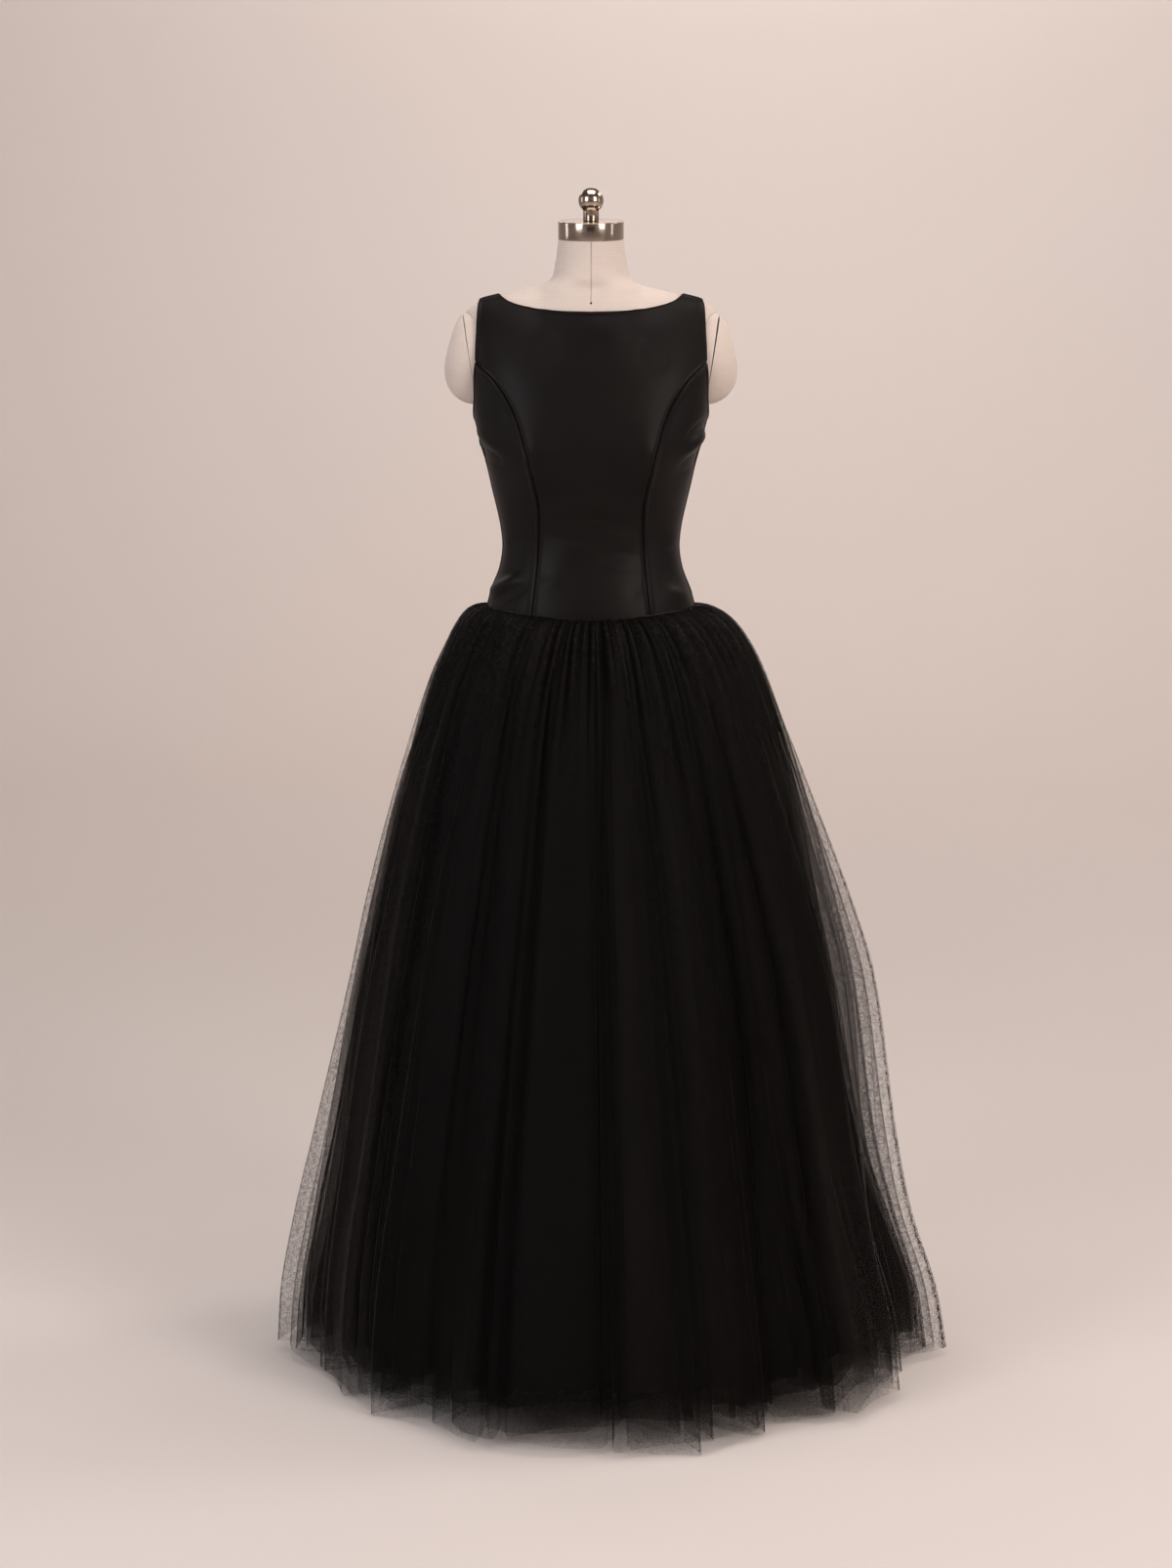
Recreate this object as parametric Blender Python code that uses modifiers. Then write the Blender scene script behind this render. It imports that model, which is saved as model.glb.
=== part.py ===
"""A boat-neck bridesmaid gown on the limbless dress form that carries it.

The gown has a smooth satin bodice with princess seams and a dropped waist,
and a floor-length gathered skirt of two tulle layers over an opaque lining.
The front faces -Y, +X is the viewer's right and +Z is up. The origin is the
centre of the stand's base, on the floor. Every size is in metres.
"""

from bisect import bisect_right
from math import atan2, cos, exp, hypot, pi, radians, sin, sqrt, tan
from typing import NamedTuple

import bmesh
import bpy
from mathutils import Vector

# Walls and the gaps between neighbouring pieces
SEAM_GAP = 0.0003
SATIN_WALL = 0.0015
TULLE_WALL = 0.001
FORM_INSET_CHEST = 0.0052
FORM_INSET_HIP = 0.006
FORM_INSET_RIDGE = 0.0023
HIP_LEVEL = 1.12
CHEST_LEVEL = 1.20

# Heights above the floor
FORM_BOTTOM = 0.80
WAIST_SEAM_SIDE = 1.082
WAIST_SEAM_DIP = 0.012
UNDERARM = 1.345
SHOULDER_START = 1.38
SEAM_MEETS_ARMHOLE = 1.4235
FRONT_NECK = 1.491
NECK_TOP = 1.5895

# Shoulder seam, from the neck point to the tip
NECK_POINT_X = 0.128
SHOULDER_TIP_X = 0.156
ARMHOLE_X = 0.1605

# The fullness over the bust, added to the front
BUST_X = 0.088
BUST_HEIGHT = 1.292
BUST_RISE = 0.014
BUST_WIDTH = 0.036
BUST_TALL = 0.042


class Girth(NamedTuple):
    """One level of the worn body: its half width, depths from the side seam and squareness."""

    height: float
    half_width: float
    front: float
    back: float
    squareness: float


BODY = (
    Girth(0.800, 0.140, 0.092, 0.098, 2.2),
    Girth(0.870, 0.151, 0.101, 0.112, 2.2),
    Girth(0.950, 0.158, 0.107, 0.120, 2.2),
    Girth(1.020, 0.154, 0.107, 0.114, 2.25),
    Girth(1.060, 0.147, 0.105, 0.107, 2.3),
    Girth(1.083, 0.144, 0.103, 0.102, 2.3),
    Girth(1.108, 0.1363, 0.098, 0.096, 2.3),
    Girth(1.135, 0.1266, 0.091, 0.089, 2.3),
    Girth(1.163, 0.1224, 0.0875, 0.0835, 2.3),
    Girth(1.190, 0.1244, 0.089, 0.083, 2.3),
    Girth(1.217, 0.1297, 0.095, 0.085, 2.35),
    Girth(1.245, 0.1365, 0.104, 0.088, 2.45),
    Girth(1.272, 0.1426, 0.112, 0.092, 2.55),
    Girth(1.299, 0.150, 0.1165, 0.097, 2.6),
    Girth(1.326, 0.157, 0.115, 0.101, 2.7),
    Girth(1.345, 0.162, 0.112, 0.1035, 2.75),
    Girth(1.380, 0.1645, 0.105, 0.1055, 2.9),
    Girth(1.4075, 0.1665, 0.0985, 0.1055, 2.85),
    Girth(1.445, 0.1695, 0.088, 0.103, 2.6),
    Girth(1.475, 0.175, 0.080, 0.096, 2.45),
    Girth(1.491, 0.178, 0.076, 0.090, 2.4),
    Girth(1.530, 0.178, 0.068, 0.078, 2.4),
)


class Ridge(NamedTuple):
    """The top of the shoulder: its height at a distance from the centre line."""

    x: float
    height: float


SHOULDER = (
    Ridge(0.000, 1.600),
    Ridge(0.030, 1.584),
    Ridge(0.055, 1.547),
    Ridge(0.0706, 1.5294),
    Ridge(0.1017, 1.5213),
    Ridge(0.128, 1.5135),
    Ridge(0.156, 1.5055),
    Ridge(0.175, 1.4935),
    Ridge(0.180, 1.487),
)


class Edge(NamedTuple):
    """One level of a seam that runs up a panel."""

    height: float
    x: float


FRONT_PRINCESS_SEAM = (
    Edge(1.070, 0.0832),
    Edge(1.136, 0.0757),
    Edge(1.183, 0.0725),
    Edge(1.231, 0.0737),
    Edge(1.305, 0.0915),
    Edge(1.356, 0.1080),
    Edge(1.396, 0.1325),
    Edge(SEAM_MEETS_ARMHOLE, ARMHOLE_X),
)
BACK_PRINCESS_SEAM = (
    Edge(1.070, 0.0790),
    Edge(1.136, 0.0690),
    Edge(1.183, 0.0660),
    Edge(1.231, 0.0700),
    Edge(1.305, 0.0890),
    Edge(1.356, 0.1070),
    Edge(1.396, 0.1325),
    Edge(SEAM_MEETS_ARMHOLE, ARMHOLE_X),
)


class Neckline(NamedTuple):
    """The neck edge's height at a distance from the centre line."""

    x: float
    height: float


FRONT_NECKLINE = (
    Neckline(0.000, FRONT_NECK),
    Neckline(0.060, 1.4932),
    Neckline(0.100, 1.4998),
    Neckline(0.116, 1.5050),
    Neckline(0.124, 1.5100),
    Neckline(NECK_POINT_X, 1.5135),
)
BACK_NECKLINE = (
    Neckline(0.000, 1.4830),
    Neckline(0.060, 1.4880),
    Neckline(0.100, 1.4980),
    Neckline(0.116, 1.5045),
    Neckline(0.124, 1.5100),
    Neckline(NECK_POINT_X, 1.5135),
)

# How finely the bodice panels are divided
ROW_SHARES = (0.0, 0.12, 0.24, 0.36, 0.48, 0.60, 0.72, 0.82, 0.90, 0.96, 1.0)
TOP_COLUMNS = (
    0.0, 0.036, 0.068, 0.094, 0.111, 0.1205, 0.1250, 0.1275, NECK_POINT_X, 0.142, SHOULDER_TIP_X,
)
SIDE_COLUMNS = 6
SHOULDER_STEPS = (0.10, 0.24, 0.40, 0.56, 0.72, 0.86, 1.0)


class Flare(NamedTuple):
    """One level of a skirt layer: how far it stands out from the waist seam, and its folds' depth."""

    height: float
    left: float
    right: float
    front: float
    back: float
    fold: float


class Layer(NamedTuple):
    """One gathered layer of the skirt."""

    name: str
    folds: int
    rows: tuple


OUTER_TULLE = Layer(
    "skirt_outer_tulle",
    48,
    (
        Flare(1.0816, 0.0010, 0.0010, 0.0010, 0.0010, 0.0),
        Flare(1.0765, 0.018, 0.020, 0.016, 0.016, 0.002),
        Flare(1.0620, 0.036, 0.053, 0.040, 0.040, 0.003),
        Flare(0.9850, 0.073, 0.098, 0.088, 0.088, 0.006),
        Flare(0.8300, 0.125, 0.157, 0.150, 0.150, 0.009),
        Flare(0.6000, 0.1775, 0.238, 0.224, 0.222, 0.0105),
        Flare(0.3000, 0.238, 0.285, 0.305, 0.300, 0.0125),
        Flare(0.0010, 0.279, 0.350, 0.353, 0.345, 0.015),
    ),
)
INNER_TULLE = Layer(
    "skirt_inner_tulle",
    28,
    (
        Flare(1.0816, -0.0006, -0.0006, -0.0006, -0.0006, 0.0),
        Flare(1.0690, 0.014, 0.016, 0.012, 0.012, 0.0015),
        Flare(1.0450, 0.030, 0.045, 0.034, 0.034, 0.003),
        Flare(0.9700, 0.060, 0.086, 0.075, 0.075, 0.005),
        Flare(0.8000, 0.110, 0.142, 0.137, 0.137, 0.007),
        Flare(0.4500, 0.177, 0.214, 0.235, 0.232, 0.009),
        Flare(0.0012, 0.241, 0.318, 0.318, 0.312, 0.012),
    ),
)
LINING = Layer(
    "skirt_lining",
    20,
    (
        Flare(1.0816, -0.0022, -0.0022, -0.0022, -0.0022, 0.0),
        Flare(1.0640, 0.010, 0.012, 0.009, 0.009, 0.001),
        Flare(1.0200, 0.028, 0.045, 0.034, 0.034, 0.002),
        Flare(0.8000, 0.092, 0.120, 0.118, 0.118, 0.005),
        Flare(0.0250, 0.205, 0.280, 0.282, 0.276, 0.010),
    ),
)
POINTS_PER_FOLD = 3

# The dress form: the turns and levels of its outline, a quarter of the way round
FORM_TURNS = (0, 13, 26, 38, 49, 59, 67, 73, 78, 82, 85, 87.5, 90)
FORM_LEVELS = (
    0.80, 0.87, 0.95, 1.02, 1.08, 1.12, 1.163, 1.20, 1.24, 1.275, 1.305, 1.335,
    1.37, 1.41, 1.44, 1.465, 1.48, 1.49, 1.499, 1.507, 1.513, 1.519, 1.525,
)


class NeckRing(NamedTuple):
    """One level of the form's neck, an oval."""

    height: float
    half_width: float
    front: float
    back: float


NECK_RINGS = (
    NeckRing(1.534, 0.0545, 0.054, 0.060),
    NeckRing(1.546, 0.0515, 0.050, 0.055),
    NeckRing(1.566, 0.0480, 0.0475, 0.050),
    NeckRing(NECK_TOP, 0.0453, 0.0453, 0.0453),
)
NECK_TILT = 5.0

# The form's arm caps, each an oval dome
ARM_CAP_GAP = 0.0008
ARM_CAP_CENTRE = 1.4250
ARM_CAP_HALF_HEIGHT = 0.0635
ARM_CAP_HALF_DEPTH = 0.040
ARM_CAP_BULGE = 0.039
ARM_CAP_SAG = 0.4
ARM_CAP_SPOKES = 22
ARM_CAP_RINGS = (1.0, 0.97, 0.88, 0.70, 0.40)
ARM_CAP_BASE_RINGS = (0.87, 0.72, 0.55, 0.35)

# Neck cap, knob and stand
NECK_CAP_RADIUS = 0.0456
NECK_CAP_HEIGHT = 0.0245
NECK_CAP_EDGE = 0.0012
STEM_RADIUS = 0.011
STEM_HEIGHT = 0.0142
KNOB_RADIUS = 0.0175
POLE_RADIUS = 0.0135
BASE_RADIUS = 0.19
BASE_THICKNESS = 0.012
BASE_EDGE = 0.002

# The zip's slider and pull tab, at the top of the centre back
SLIDER_HEIGHT = 1.468
SLIDER_SIZE = (0.0060, 0.0026, 0.0090)
BRIDGE_WIDTH = 0.0016
BRIDGE_BAR = 0.0009
TUNNEL_LENGTH = 0.0028
TUNNEL_HEIGHT = 0.0020
PULL_BAR_RADIUS = 0.0006
PULL_ARM_WIDTH = 0.0010
PULL_ARM_X = 0.0020
PULL_WINDOW = 0.0044
PULL_TAB_WIDTH = 0.0052
PULL_TAB_LENGTH = 0.0180
PULL_THICKNESS = 0.0010

# Colours of the plain materials, linear red, green and blue
BLACK_SATIN = (0.012, 0.011, 0.012)
BLACK_TULLE = (0.020, 0.018, 0.018)
BLACK_LINING = (0.006, 0.006, 0.006)
BEIGE_LINEN = (0.672, 0.565, 0.479)
STEEL = (0.55, 0.50, 0.45)
BLACK_METAL = (0.02, 0.02, 0.02)


def clear_scene():
    """Remove whatever the scene holds."""
    for item in list(bpy.data.objects):
        bpy.data.objects.remove(item, do_unlink=True)


def new_collection(name):
    collection = bpy.data.collections.new(name)
    bpy.context.scene.collection.children.link(collection)
    return collection


def material(name, colour, roughness, metallic=0.0):
    """A plain Principled material."""
    made = bpy.data.materials.new(name)
    made.use_nodes = True
    shader = made.node_tree.nodes["Principled BSDF"]
    shader.inputs["Base Color"].default_value = (*colour, 1.0)
    shader.inputs["Roughness"].default_value = roughness
    shader.inputs["Metallic"].default_value = metallic
    return made


def slope(table, column, row):
    """A column's slope at one row of a table, from the rows on each side."""
    low = max(row - 1, 0)
    high = min(row + 1, len(table) - 1)
    return (table[high][column] - table[low][column]) / (table[high][0] - table[low][0])


def along(table, column, place):
    """A column's value at a place on a table, on a smooth curve through its rows."""
    keys = [row[0] for row in table]
    place = min(max(place, keys[0]), keys[-1])
    row = min(bisect_right(keys, place) - 1, len(keys) - 2)
    span = keys[row + 1] - keys[row]
    t = (place - keys[row]) / span
    low, high = table[row][column], table[row + 1][column]
    leave = slope(table, column, row) * span
    arrive = slope(table, column, row + 1) * span
    return (
        low * (2 * t ** 3 - 3 * t ** 2 + 1)
        + leave * (t ** 3 - 2 * t ** 2 + t)
        + high * (3 * t ** 2 - 2 * t ** 3)
        + arrive * (t ** 3 - t ** 2)
    )


def between(low, high, share):
    return low + (high - low) * share


def ease(low, high, place):
    """0 below low, 1 above high, and a smooth step between."""
    t = min(max((place - low) / (high - low), 0.0), 1.0)
    return t * t * (3 - 2 * t)


class Body:
    """The worn body's surface, or the same surface a little smaller all round."""

    def __init__(self, chest_inset=0.0, hip_inset=0.0, ridge_inset=0.0):
        self.chest_inset = chest_inset
        self.hip_inset = hip_inset
        self.ridge_inset = ridge_inset

    def inset(self, height):
        return between(self.hip_inset, self.chest_inset, ease(HIP_LEVEL, CHEST_LEVEL, height))

    def depth(self, x, height, back):
        """The depth at the middle of this level, with the bust's fullness at x."""
        full = along(BODY, 3 if back else 2, height) - self.inset(height)
        if back:
            return full
        away = ((abs(x) - BUST_X) / BUST_WIDTH) ** 2 + ((height - BUST_HEIGHT) / BUST_TALL) ** 2
        return full + BUST_RISE * exp(-away)

    def room(self, x, height):
        """How much of the depth is left at x: 1 at the middle, 0 at the side and on the ridge."""
        power = along(BODY, 4, height)
        half_width = along(BODY, 1, height) - self.inset(height)
        across = 1 - (abs(x) / half_width) ** power
        ridge = along(SHOULDER, 1, abs(x)) - self.ridge_inset
        risen = max(height - SHOULDER_START, 0.0) / (ridge - SHOULDER_START)
        return across, 1 - risen ** power, power

    def half_depth(self, x, height, back=False):
        across, up, power = self.room(x, height)
        if across <= 0 or up <= 0:
            return 0.0
        return self.depth(x, height, back) * (across * up) ** (1 / power)

    def level(self, x, y, height):
        """Below 0 inside the body, 0 on its surface and above 0 outside."""
        across, up, power = self.room(x, height)
        return (abs(y) / self.depth(x, height, y > 0)) ** power - across * up

    def outward(self, point):
        """The unit direction straight out of the surface at a point on it."""
        step = 0.0002
        x, y, z = point
        return Vector(
            (
                self.level(x + step, y, z) - self.level(x - step, y, z),
                self.level(x, y + step, z) - self.level(x, y - step, z),
                self.level(x, y, z + step) - self.level(x, y, z - step),
            )
        ).normalized()

    def reach(self, angle, height):
        """The distance from the axis to the surface. Angle 0 is the centre front, 90 degrees +X."""
        back = cos(angle) < 0
        low, high = 0.0, 0.3
        for _ in range(40):
            middle = (low + high) / 2
            x, y = middle * sin(angle), abs(middle * cos(angle))
            across, up, _ = self.room(x, height)
            inside = across > 0 and up > 0 and y < self.half_depth(x, height, back)
            low, high = (middle, high) if inside else (low, middle)
        return low

    def side_x(self, y, height):
        """The furthest x at which the body is as deep as y, at this height."""
        low, high = 0.0, 0.3
        for _ in range(40):
            middle = (low + high) / 2
            across, up, _ = self.room(middle, height)
            inside = across > 0 and up > 0 and abs(y) <= self.half_depth(middle, height, y > 0)
            low, high = (middle, high) if inside else (low, middle)
        return low


WORN = Body()
FORM = Body(FORM_INSET_CHEST, FORM_INSET_HIP, FORM_INSET_RIDGE)


def waist_seam(angle):
    """The dropped waist seam's height, lowest at the centre front and the centre back."""
    return WAIST_SEAM_SIDE - WAIST_SEAM_DIP * cos(angle) ** 2


def waist_seam_at(x, back):
    """The dropped waist seam's height at a distance from the centre line."""
    height = WAIST_SEAM_SIDE
    for _ in range(4):
        height = waist_seam(atan2(abs(x), WORN.half_depth(x, height, back)))
    return height


def add_object(name, mesh, finish, collection):
    made = bpy.data.objects.new(name, mesh)
    mesh.materials.append(finish)
    collection.objects.link(made)
    return made


def closed_object(name, mesh, sharp, finish, collection):
    """An object from a closed mesh: faces outwards, smooth but for edges over the sharp angle."""
    bmesh.ops.recalc_face_normals(mesh, faces=mesh.faces)
    if mesh.calc_volume(signed=True) < 0:
        bmesh.ops.reverse_faces(mesh, faces=mesh.faces)
    data = bpy.data.meshes.new(name)
    mesh.to_mesh(data)
    mesh.free()
    data.shade_smooth()
    data.set_sharp_from_angle(angle=radians(sharp))
    return add_object(name, data, finish, collection)


def wall(name, outer, inner, finish, collection, closed=False):
    """A closed wall between two matching grids of points, each a list of rows."""
    mesh = bmesh.new()
    skins = [[[mesh.verts.new(point) for point in row] for row in grid] for grid in (outer, inner)]
    rows, columns = len(outer), len(outer[0])
    across = columns if closed else columns - 1
    for skin, turned in zip(skins, (False, True)):
        for i in range(rows - 1):
            for j in range(across):
                k = (j + 1) % columns
                a, b, c, d = skin[i][j], skin[i][k], skin[i + 1][k], skin[i + 1][j]
                for corners in ((a, b, c), (a, c, d)):
                    mesh.faces.new(corners[::-1] if turned else corners)
    front, back = skins
    rims = [([front[i][j] for j in range(columns)], [back[i][j] for j in range(columns)], across)
            for i in (0, rows - 1)]
    if not closed:
        rims += [([front[i][j] for i in range(rows)], [back[i][j] for i in range(rows)], rows - 1)
                 for j in (0, columns - 1)]
    for near, far, count in rims:
        for i in range(count):
            k = (i + 1) % len(near)
            mesh.faces.new((near[i], near[k], far[k]))
            mesh.faces.new((near[i], far[k], far[i]))
    return closed_object(name, mesh, 40, finish, collection)


def satin_point(x, height, back, y=None):
    """The outer and inner points of the satin at a place on the worn body."""
    way = 1 if back else -1
    surface = Vector((x, way * (WORN.half_depth(x, height, back) if y is None else y), height))
    outward = WORN.outward(surface)
    outer = surface + Vector((0, way * SEAM_GAP / 2, 0))
    return outer, outer - outward * SATIN_WALL


def shoulder_fall(x, height):
    """1 where the shoulder starts to curve over, falling evenly to 0 on its ridge."""
    across, up, power = WORN.room(x, height)
    return max(up, 0.0) ** (1 / power)


def height_of_fall(x, fall):
    """The height at which the shoulder's curve at x has a given fall."""
    low, high = SHOULDER_START, along(SHOULDER, 1, x)
    for _ in range(40):
        middle = (low + high) / 2
        low, high = (middle, high) if shoulder_fall(x, middle) > fall else (low, middle)
    return (low + high) / 2


def centre_half(seam, neckline, back, start):
    """The right half of a centre panel: columns from the centre line to the princess seam."""
    half = []
    for column, top_x in enumerate(TOP_COLUMNS):
        share = column / (len(TOP_COLUMNS) - 1)
        bottom = waist_seam_at(share * seam[0].x, back)
        points = []
        for part in ROW_SHARES:
            height = between(bottom, SEAM_MEETS_ARMHOLE, part)
            edge = along(seam, 1, height) - SEAM_GAP / 2
            points.append(satin_point(max(share * edge, start), height, back))
        low_x = share * (ARMHOLE_X - SEAM_GAP / 2)
        on_neck = top_x < NECK_POINT_X
        top_fall = shoulder_fall(top_x, along(neckline, 1, top_x)) if on_neck else 0.0
        low_fall = shoulder_fall(low_x, SEAM_MEETS_ARMHOLE)
        for step in SHOULDER_STEPS:
            x = max(between(low_x, top_x, step), start)
            fall = between(low_fall, top_fall, step)
            if fall > 0:
                points.append(satin_point(x, height_of_fall(x, fall), back))
            else:
                points.append(satin_point(x, along(SHOULDER, 1, x), back, y=0.0))
        half.append(points)
    return half


def mirrored(columns):
    """The same columns on the other side of the centre line, in the order from there."""
    flipped = [[tuple(Vector((-p.x, p.y, p.z)) for p in pair) for pair in column] for column in columns]
    return flipped[::-1]


def panel(name, columns, finish, collection):
    """A satin panel from columns of outer and inner points."""
    outer = [[pair[0] for pair in column] for column in columns]
    inner = [[pair[1] for pair in column] for column in columns]
    return wall(name, outer, inner, finish, collection)


def side_panel_columns(seam, back):
    """A side panel's columns, from the princess seam to the side seam."""
    way = 1 if back else -1
    armhole_depth = WORN.half_depth(ARMHOLE_X, SEAM_MEETS_ARMHOLE, back)
    armhole_turn = pi / 2 - atan2(ARMHOLE_X, armhole_depth)
    bottom_edge = atan2(seam[0].x, WORN.half_depth(seam[0].x, WAIST_SEAM_SIDE, back))
    columns = []
    for column in range(SIDE_COLUMNS + 1):
        share = column / SIDE_COLUMNS
        swing = (1 - share) * pi / 2
        top = UNDERARM + (SEAM_MEETS_ARMHOLE - UNDERARM) * (1 - cos(swing))
        top_angle = pi / 2 - armhole_turn * sin(swing)
        start = waist_seam(between(bottom_edge, pi / 2, share))
        bottom = start if share else waist_seam_at(seam[0].x, back)

        def swept(height):
            edge_x = along(seam, 1, height) + SEAM_GAP / 2
            edge = atan2(edge_x, WORN.half_depth(edge_x, height, back))
            return between(edge, pi / 2, share)

        shortfall = top_angle - swept(top)
        points = []
        for part in ROW_SHARES:
            height = between(bottom, top, part)
            angle = swept(height) + (shortfall * part ** 4 if 0 < share < 1 else 0.0)
            turn = pi - angle if back else angle
            reach = WORN.reach(turn, height)
            points.append(satin_point(reach * sin(angle), height, back, y=reach * cos(angle)))
        columns.append(points)
    return columns


def build_bodice(finish, collection):
    """Front centre, two side fronts, two side backs and two backs that meet at the zip."""
    front = centre_half(FRONT_PRINCESS_SEAM, FRONT_NECKLINE, False, 0.0)
    whole_front = mirrored(front)[:-1] + front
    panel("bodice_front_centre", whole_front, finish, collection)
    back = centre_half(BACK_PRINCESS_SEAM, BACK_NECKLINE, True, SEAM_GAP / 2)
    sides = {
        "bodice_side_front": side_panel_columns(FRONT_PRINCESS_SEAM, False),
        "bodice_side_back": side_panel_columns(BACK_PRINCESS_SEAM, True),
        "bodice_back": back,
    }
    for name, columns in sides.items():
        panel(name + "_right", columns, finish, collection)
        panel(name + "_left", mirrored(columns), finish, collection)


def fold_unevenness(angle):
    """How much deeper or shallower than usual the folds are round the skirt."""
    return 1 + 0.22 * sin(3 * angle + 1.1) + 0.14 * sin(7 * angle + 0.4)


def fold_shift(angle, folds):
    """How far a fold is moved round, none at the side seams."""
    return 0.9 / folds * sin(5 * angle + 0.7) * cos(angle)


def skirt_grid(layer):
    """The outer points of one layer, all round: a row for each level, from the waist seam down."""
    count = layer.folds * POINTS_PER_FOLD
    angles = []
    for j in range(count):
        angle = 2 * pi * j / count
        angles.append(angle + fold_shift(angle, layer.folds))
    seams = [WORN.reach(angle, waist_seam(angle)) for angle in angles]
    profiles = []
    for angle, seam in zip(angles, seams):
        side_share = sin(angle) ** 2
        profile = []
        for row in layer.rows:
            side = row.right if sin(angle) > 0 else row.left
            end = row.front if cos(angle) > 0 else row.back
            lift = (waist_seam(angle) - WAIST_SEAM_SIDE) * row.height / WAIST_SEAM_SIDE
            profile.append((seam + between(end, side, side_share), row.height + lift))
        profiles.append(profile)
    rows = []
    last = len(layer.rows) - 1
    for i, level in enumerate(layer.rows):
        row = []
        for j, angle in enumerate(angles):
            above, below = profiles[j][max(i - 1, 0)], profiles[j][min(i + 1, last)]
            out, down = below[0] - above[0], above[1] - below[1]
            length = hypot(out, down)
            wave = cos(2 * pi * j / POINTS_PER_FOLD) * level.fold * fold_unevenness(angle)
            reach = profiles[j][i][0] + wave * down / length
            height = profiles[j][i][1] + (wave * out / length if i < last else 0.0)
            row.append(Vector((reach * sin(angle), -reach * cos(angle), height)))
        rows.append(row)
    return rows


def inner_skin(rows, thickness):
    """The points that lie one wall inside a grid that runs all the way round."""
    count, last = len(rows[0]), len(rows) - 1
    inner = []
    for i, row in enumerate(rows):
        skin = []
        for j, point in enumerate(row):
            above, below = rows[max(i - 1, 0)][j], rows[min(i + 1, last)][j]
            if i == 0 or i == last:
                upright = Vector((0, 0, above.z - below.z))
            else:
                upright = above - below
            around = row[(j + 1) % count] - row[j - 1]
            skin.append(point - around.cross(upright).normalized() * thickness)
        inner.append(skin)
    return inner


def build_skirt_layer(layer, finish, collection):
    """The front and the back of one layer, split at the side seams."""
    outer = skirt_grid(layer)
    inner = inner_skin(outer, TULLE_WALL)
    count = len(outer[0])
    quarter = count // 4
    spans = {
        "front": ([(j - quarter) % count for j in range(2 * quarter + 1)], -1),
        "back": ([(j + quarter) % count for j in range(2 * quarter + 1)], 1),
    }
    for side, (picks, way) in spans.items():
        apart = Vector((0, way * SEAM_GAP / 2, 0))
        skins = [[[row[j] + apart for j in picks] for row in grid] for grid in (outer, inner)]
        wall(f"{layer.name}_{side}", *skins, finish, collection)


def closed_loft(name, rings, finish, collection):
    """A solid through rings of equal counts, its first and last rings closed by flat fans."""
    mesh = bmesh.new()
    loops = [[mesh.verts.new(point) for point in ring] for ring in rings]
    count = len(rings[0])
    for low, high in zip(loops, loops[1:]):
        for j in range(count):
            k = (j + 1) % count
            mesh.faces.new((low[j], low[k], high[k]))
            mesh.faces.new((low[j], high[k], high[j]))
    for loop in (loops[0], loops[-1]):
        middle = mesh.verts.new(sum((vert.co for vert in loop), Vector()) / count)
        for j in range(count):
            mesh.faces.new((loop[j], loop[(j + 1) % count], middle))
    return closed_object(name, mesh, 50, finish, collection)


def build_torso(finish, collection):
    """The form's trunk and neck, in one piece from the hips to the tilted top of the neck."""
    quarter = [radians(turn) for turn in FORM_TURNS]
    half = quarter + [pi - turn for turn in quarter[-2::-1]]
    angles = half + [2 * pi - turn for turn in half[-2:0:-1]]
    rings = []
    for height in FORM_LEVELS:
        reaches = [FORM.reach(angle, height) for angle in angles]
        rings.append([Vector((r * sin(a), -r * cos(a), height)) for r, a in zip(reaches, angles)])
    for ring in NECK_RINGS:
        points = []
        tilt = tan(radians(NECK_TILT)) * ease(NECK_RINGS[0].height, NECK_TOP, ring.height)
        for angle in angles:
            depth = ring.front if cos(angle) > 0 else ring.back
            y = -depth * cos(angle)
            points.append(Vector((ring.half_width * sin(angle), y, ring.height + y * tilt)))
        rings.append(points)
    return closed_loft("form_torso", rings, finish, collection)


def arm_cap_point(ring, spoke, bulge, way):
    """A point on an arm cap: ring is its share of the oval, spoke its angle from the top."""
    y = ARM_CAP_HALF_DEPTH * ring * sin(spoke)
    height = ARM_CAP_CENTRE + ARM_CAP_HALF_HEIGHT * ring * cos(spoke)
    dome = sqrt(max(1 - ring ** 2, 0.0)) * (1 - ARM_CAP_SAG * ring * cos(spoke))
    x = FORM.side_x(y, height) + ARM_CAP_GAP + bulge * dome
    return Vector((way * x, y, height))


def build_arm_caps(finish, collection):
    """The oval domes that close the form's armholes, seated on the trunk's sides."""
    spokes = [2 * pi * j / ARM_CAP_SPOKES for j in range(ARM_CAP_SPOKES)]
    for side, way in (("left", -1), ("right", 1)):
        rings = [[arm_cap_point(r, a, 0.0, way) for a in spokes] for r in ARM_CAP_BASE_RINGS[::-1]]
        rings += [[arm_cap_point(r, a, ARM_CAP_BULGE, way) for a in spokes] for r in ARM_CAP_RINGS]
        closed_loft(f"form_arm_cap_{side}", rings, finish, collection)


def turned(name, profile, steps, finish, collection, parent):
    """A solid turned about its own Z axis, from a profile that runs from top to bottom."""
    data = bpy.data.meshes.new(name)
    points = [(radius, 0.0, height) for radius, height in profile]
    data.from_pydata(points, [(i, i + 1) for i in range(len(points) - 1)], [])
    made = add_object(name, data, finish, collection)
    made.parent = parent
    screw = made.modifiers.new("turn", "SCREW")
    screw.steps = steps
    screw.render_steps = steps
    screw.use_merge_vertices = True
    screw.merge_threshold = 0.00005
    screw.use_smooth_shade = True
    return made


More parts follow.
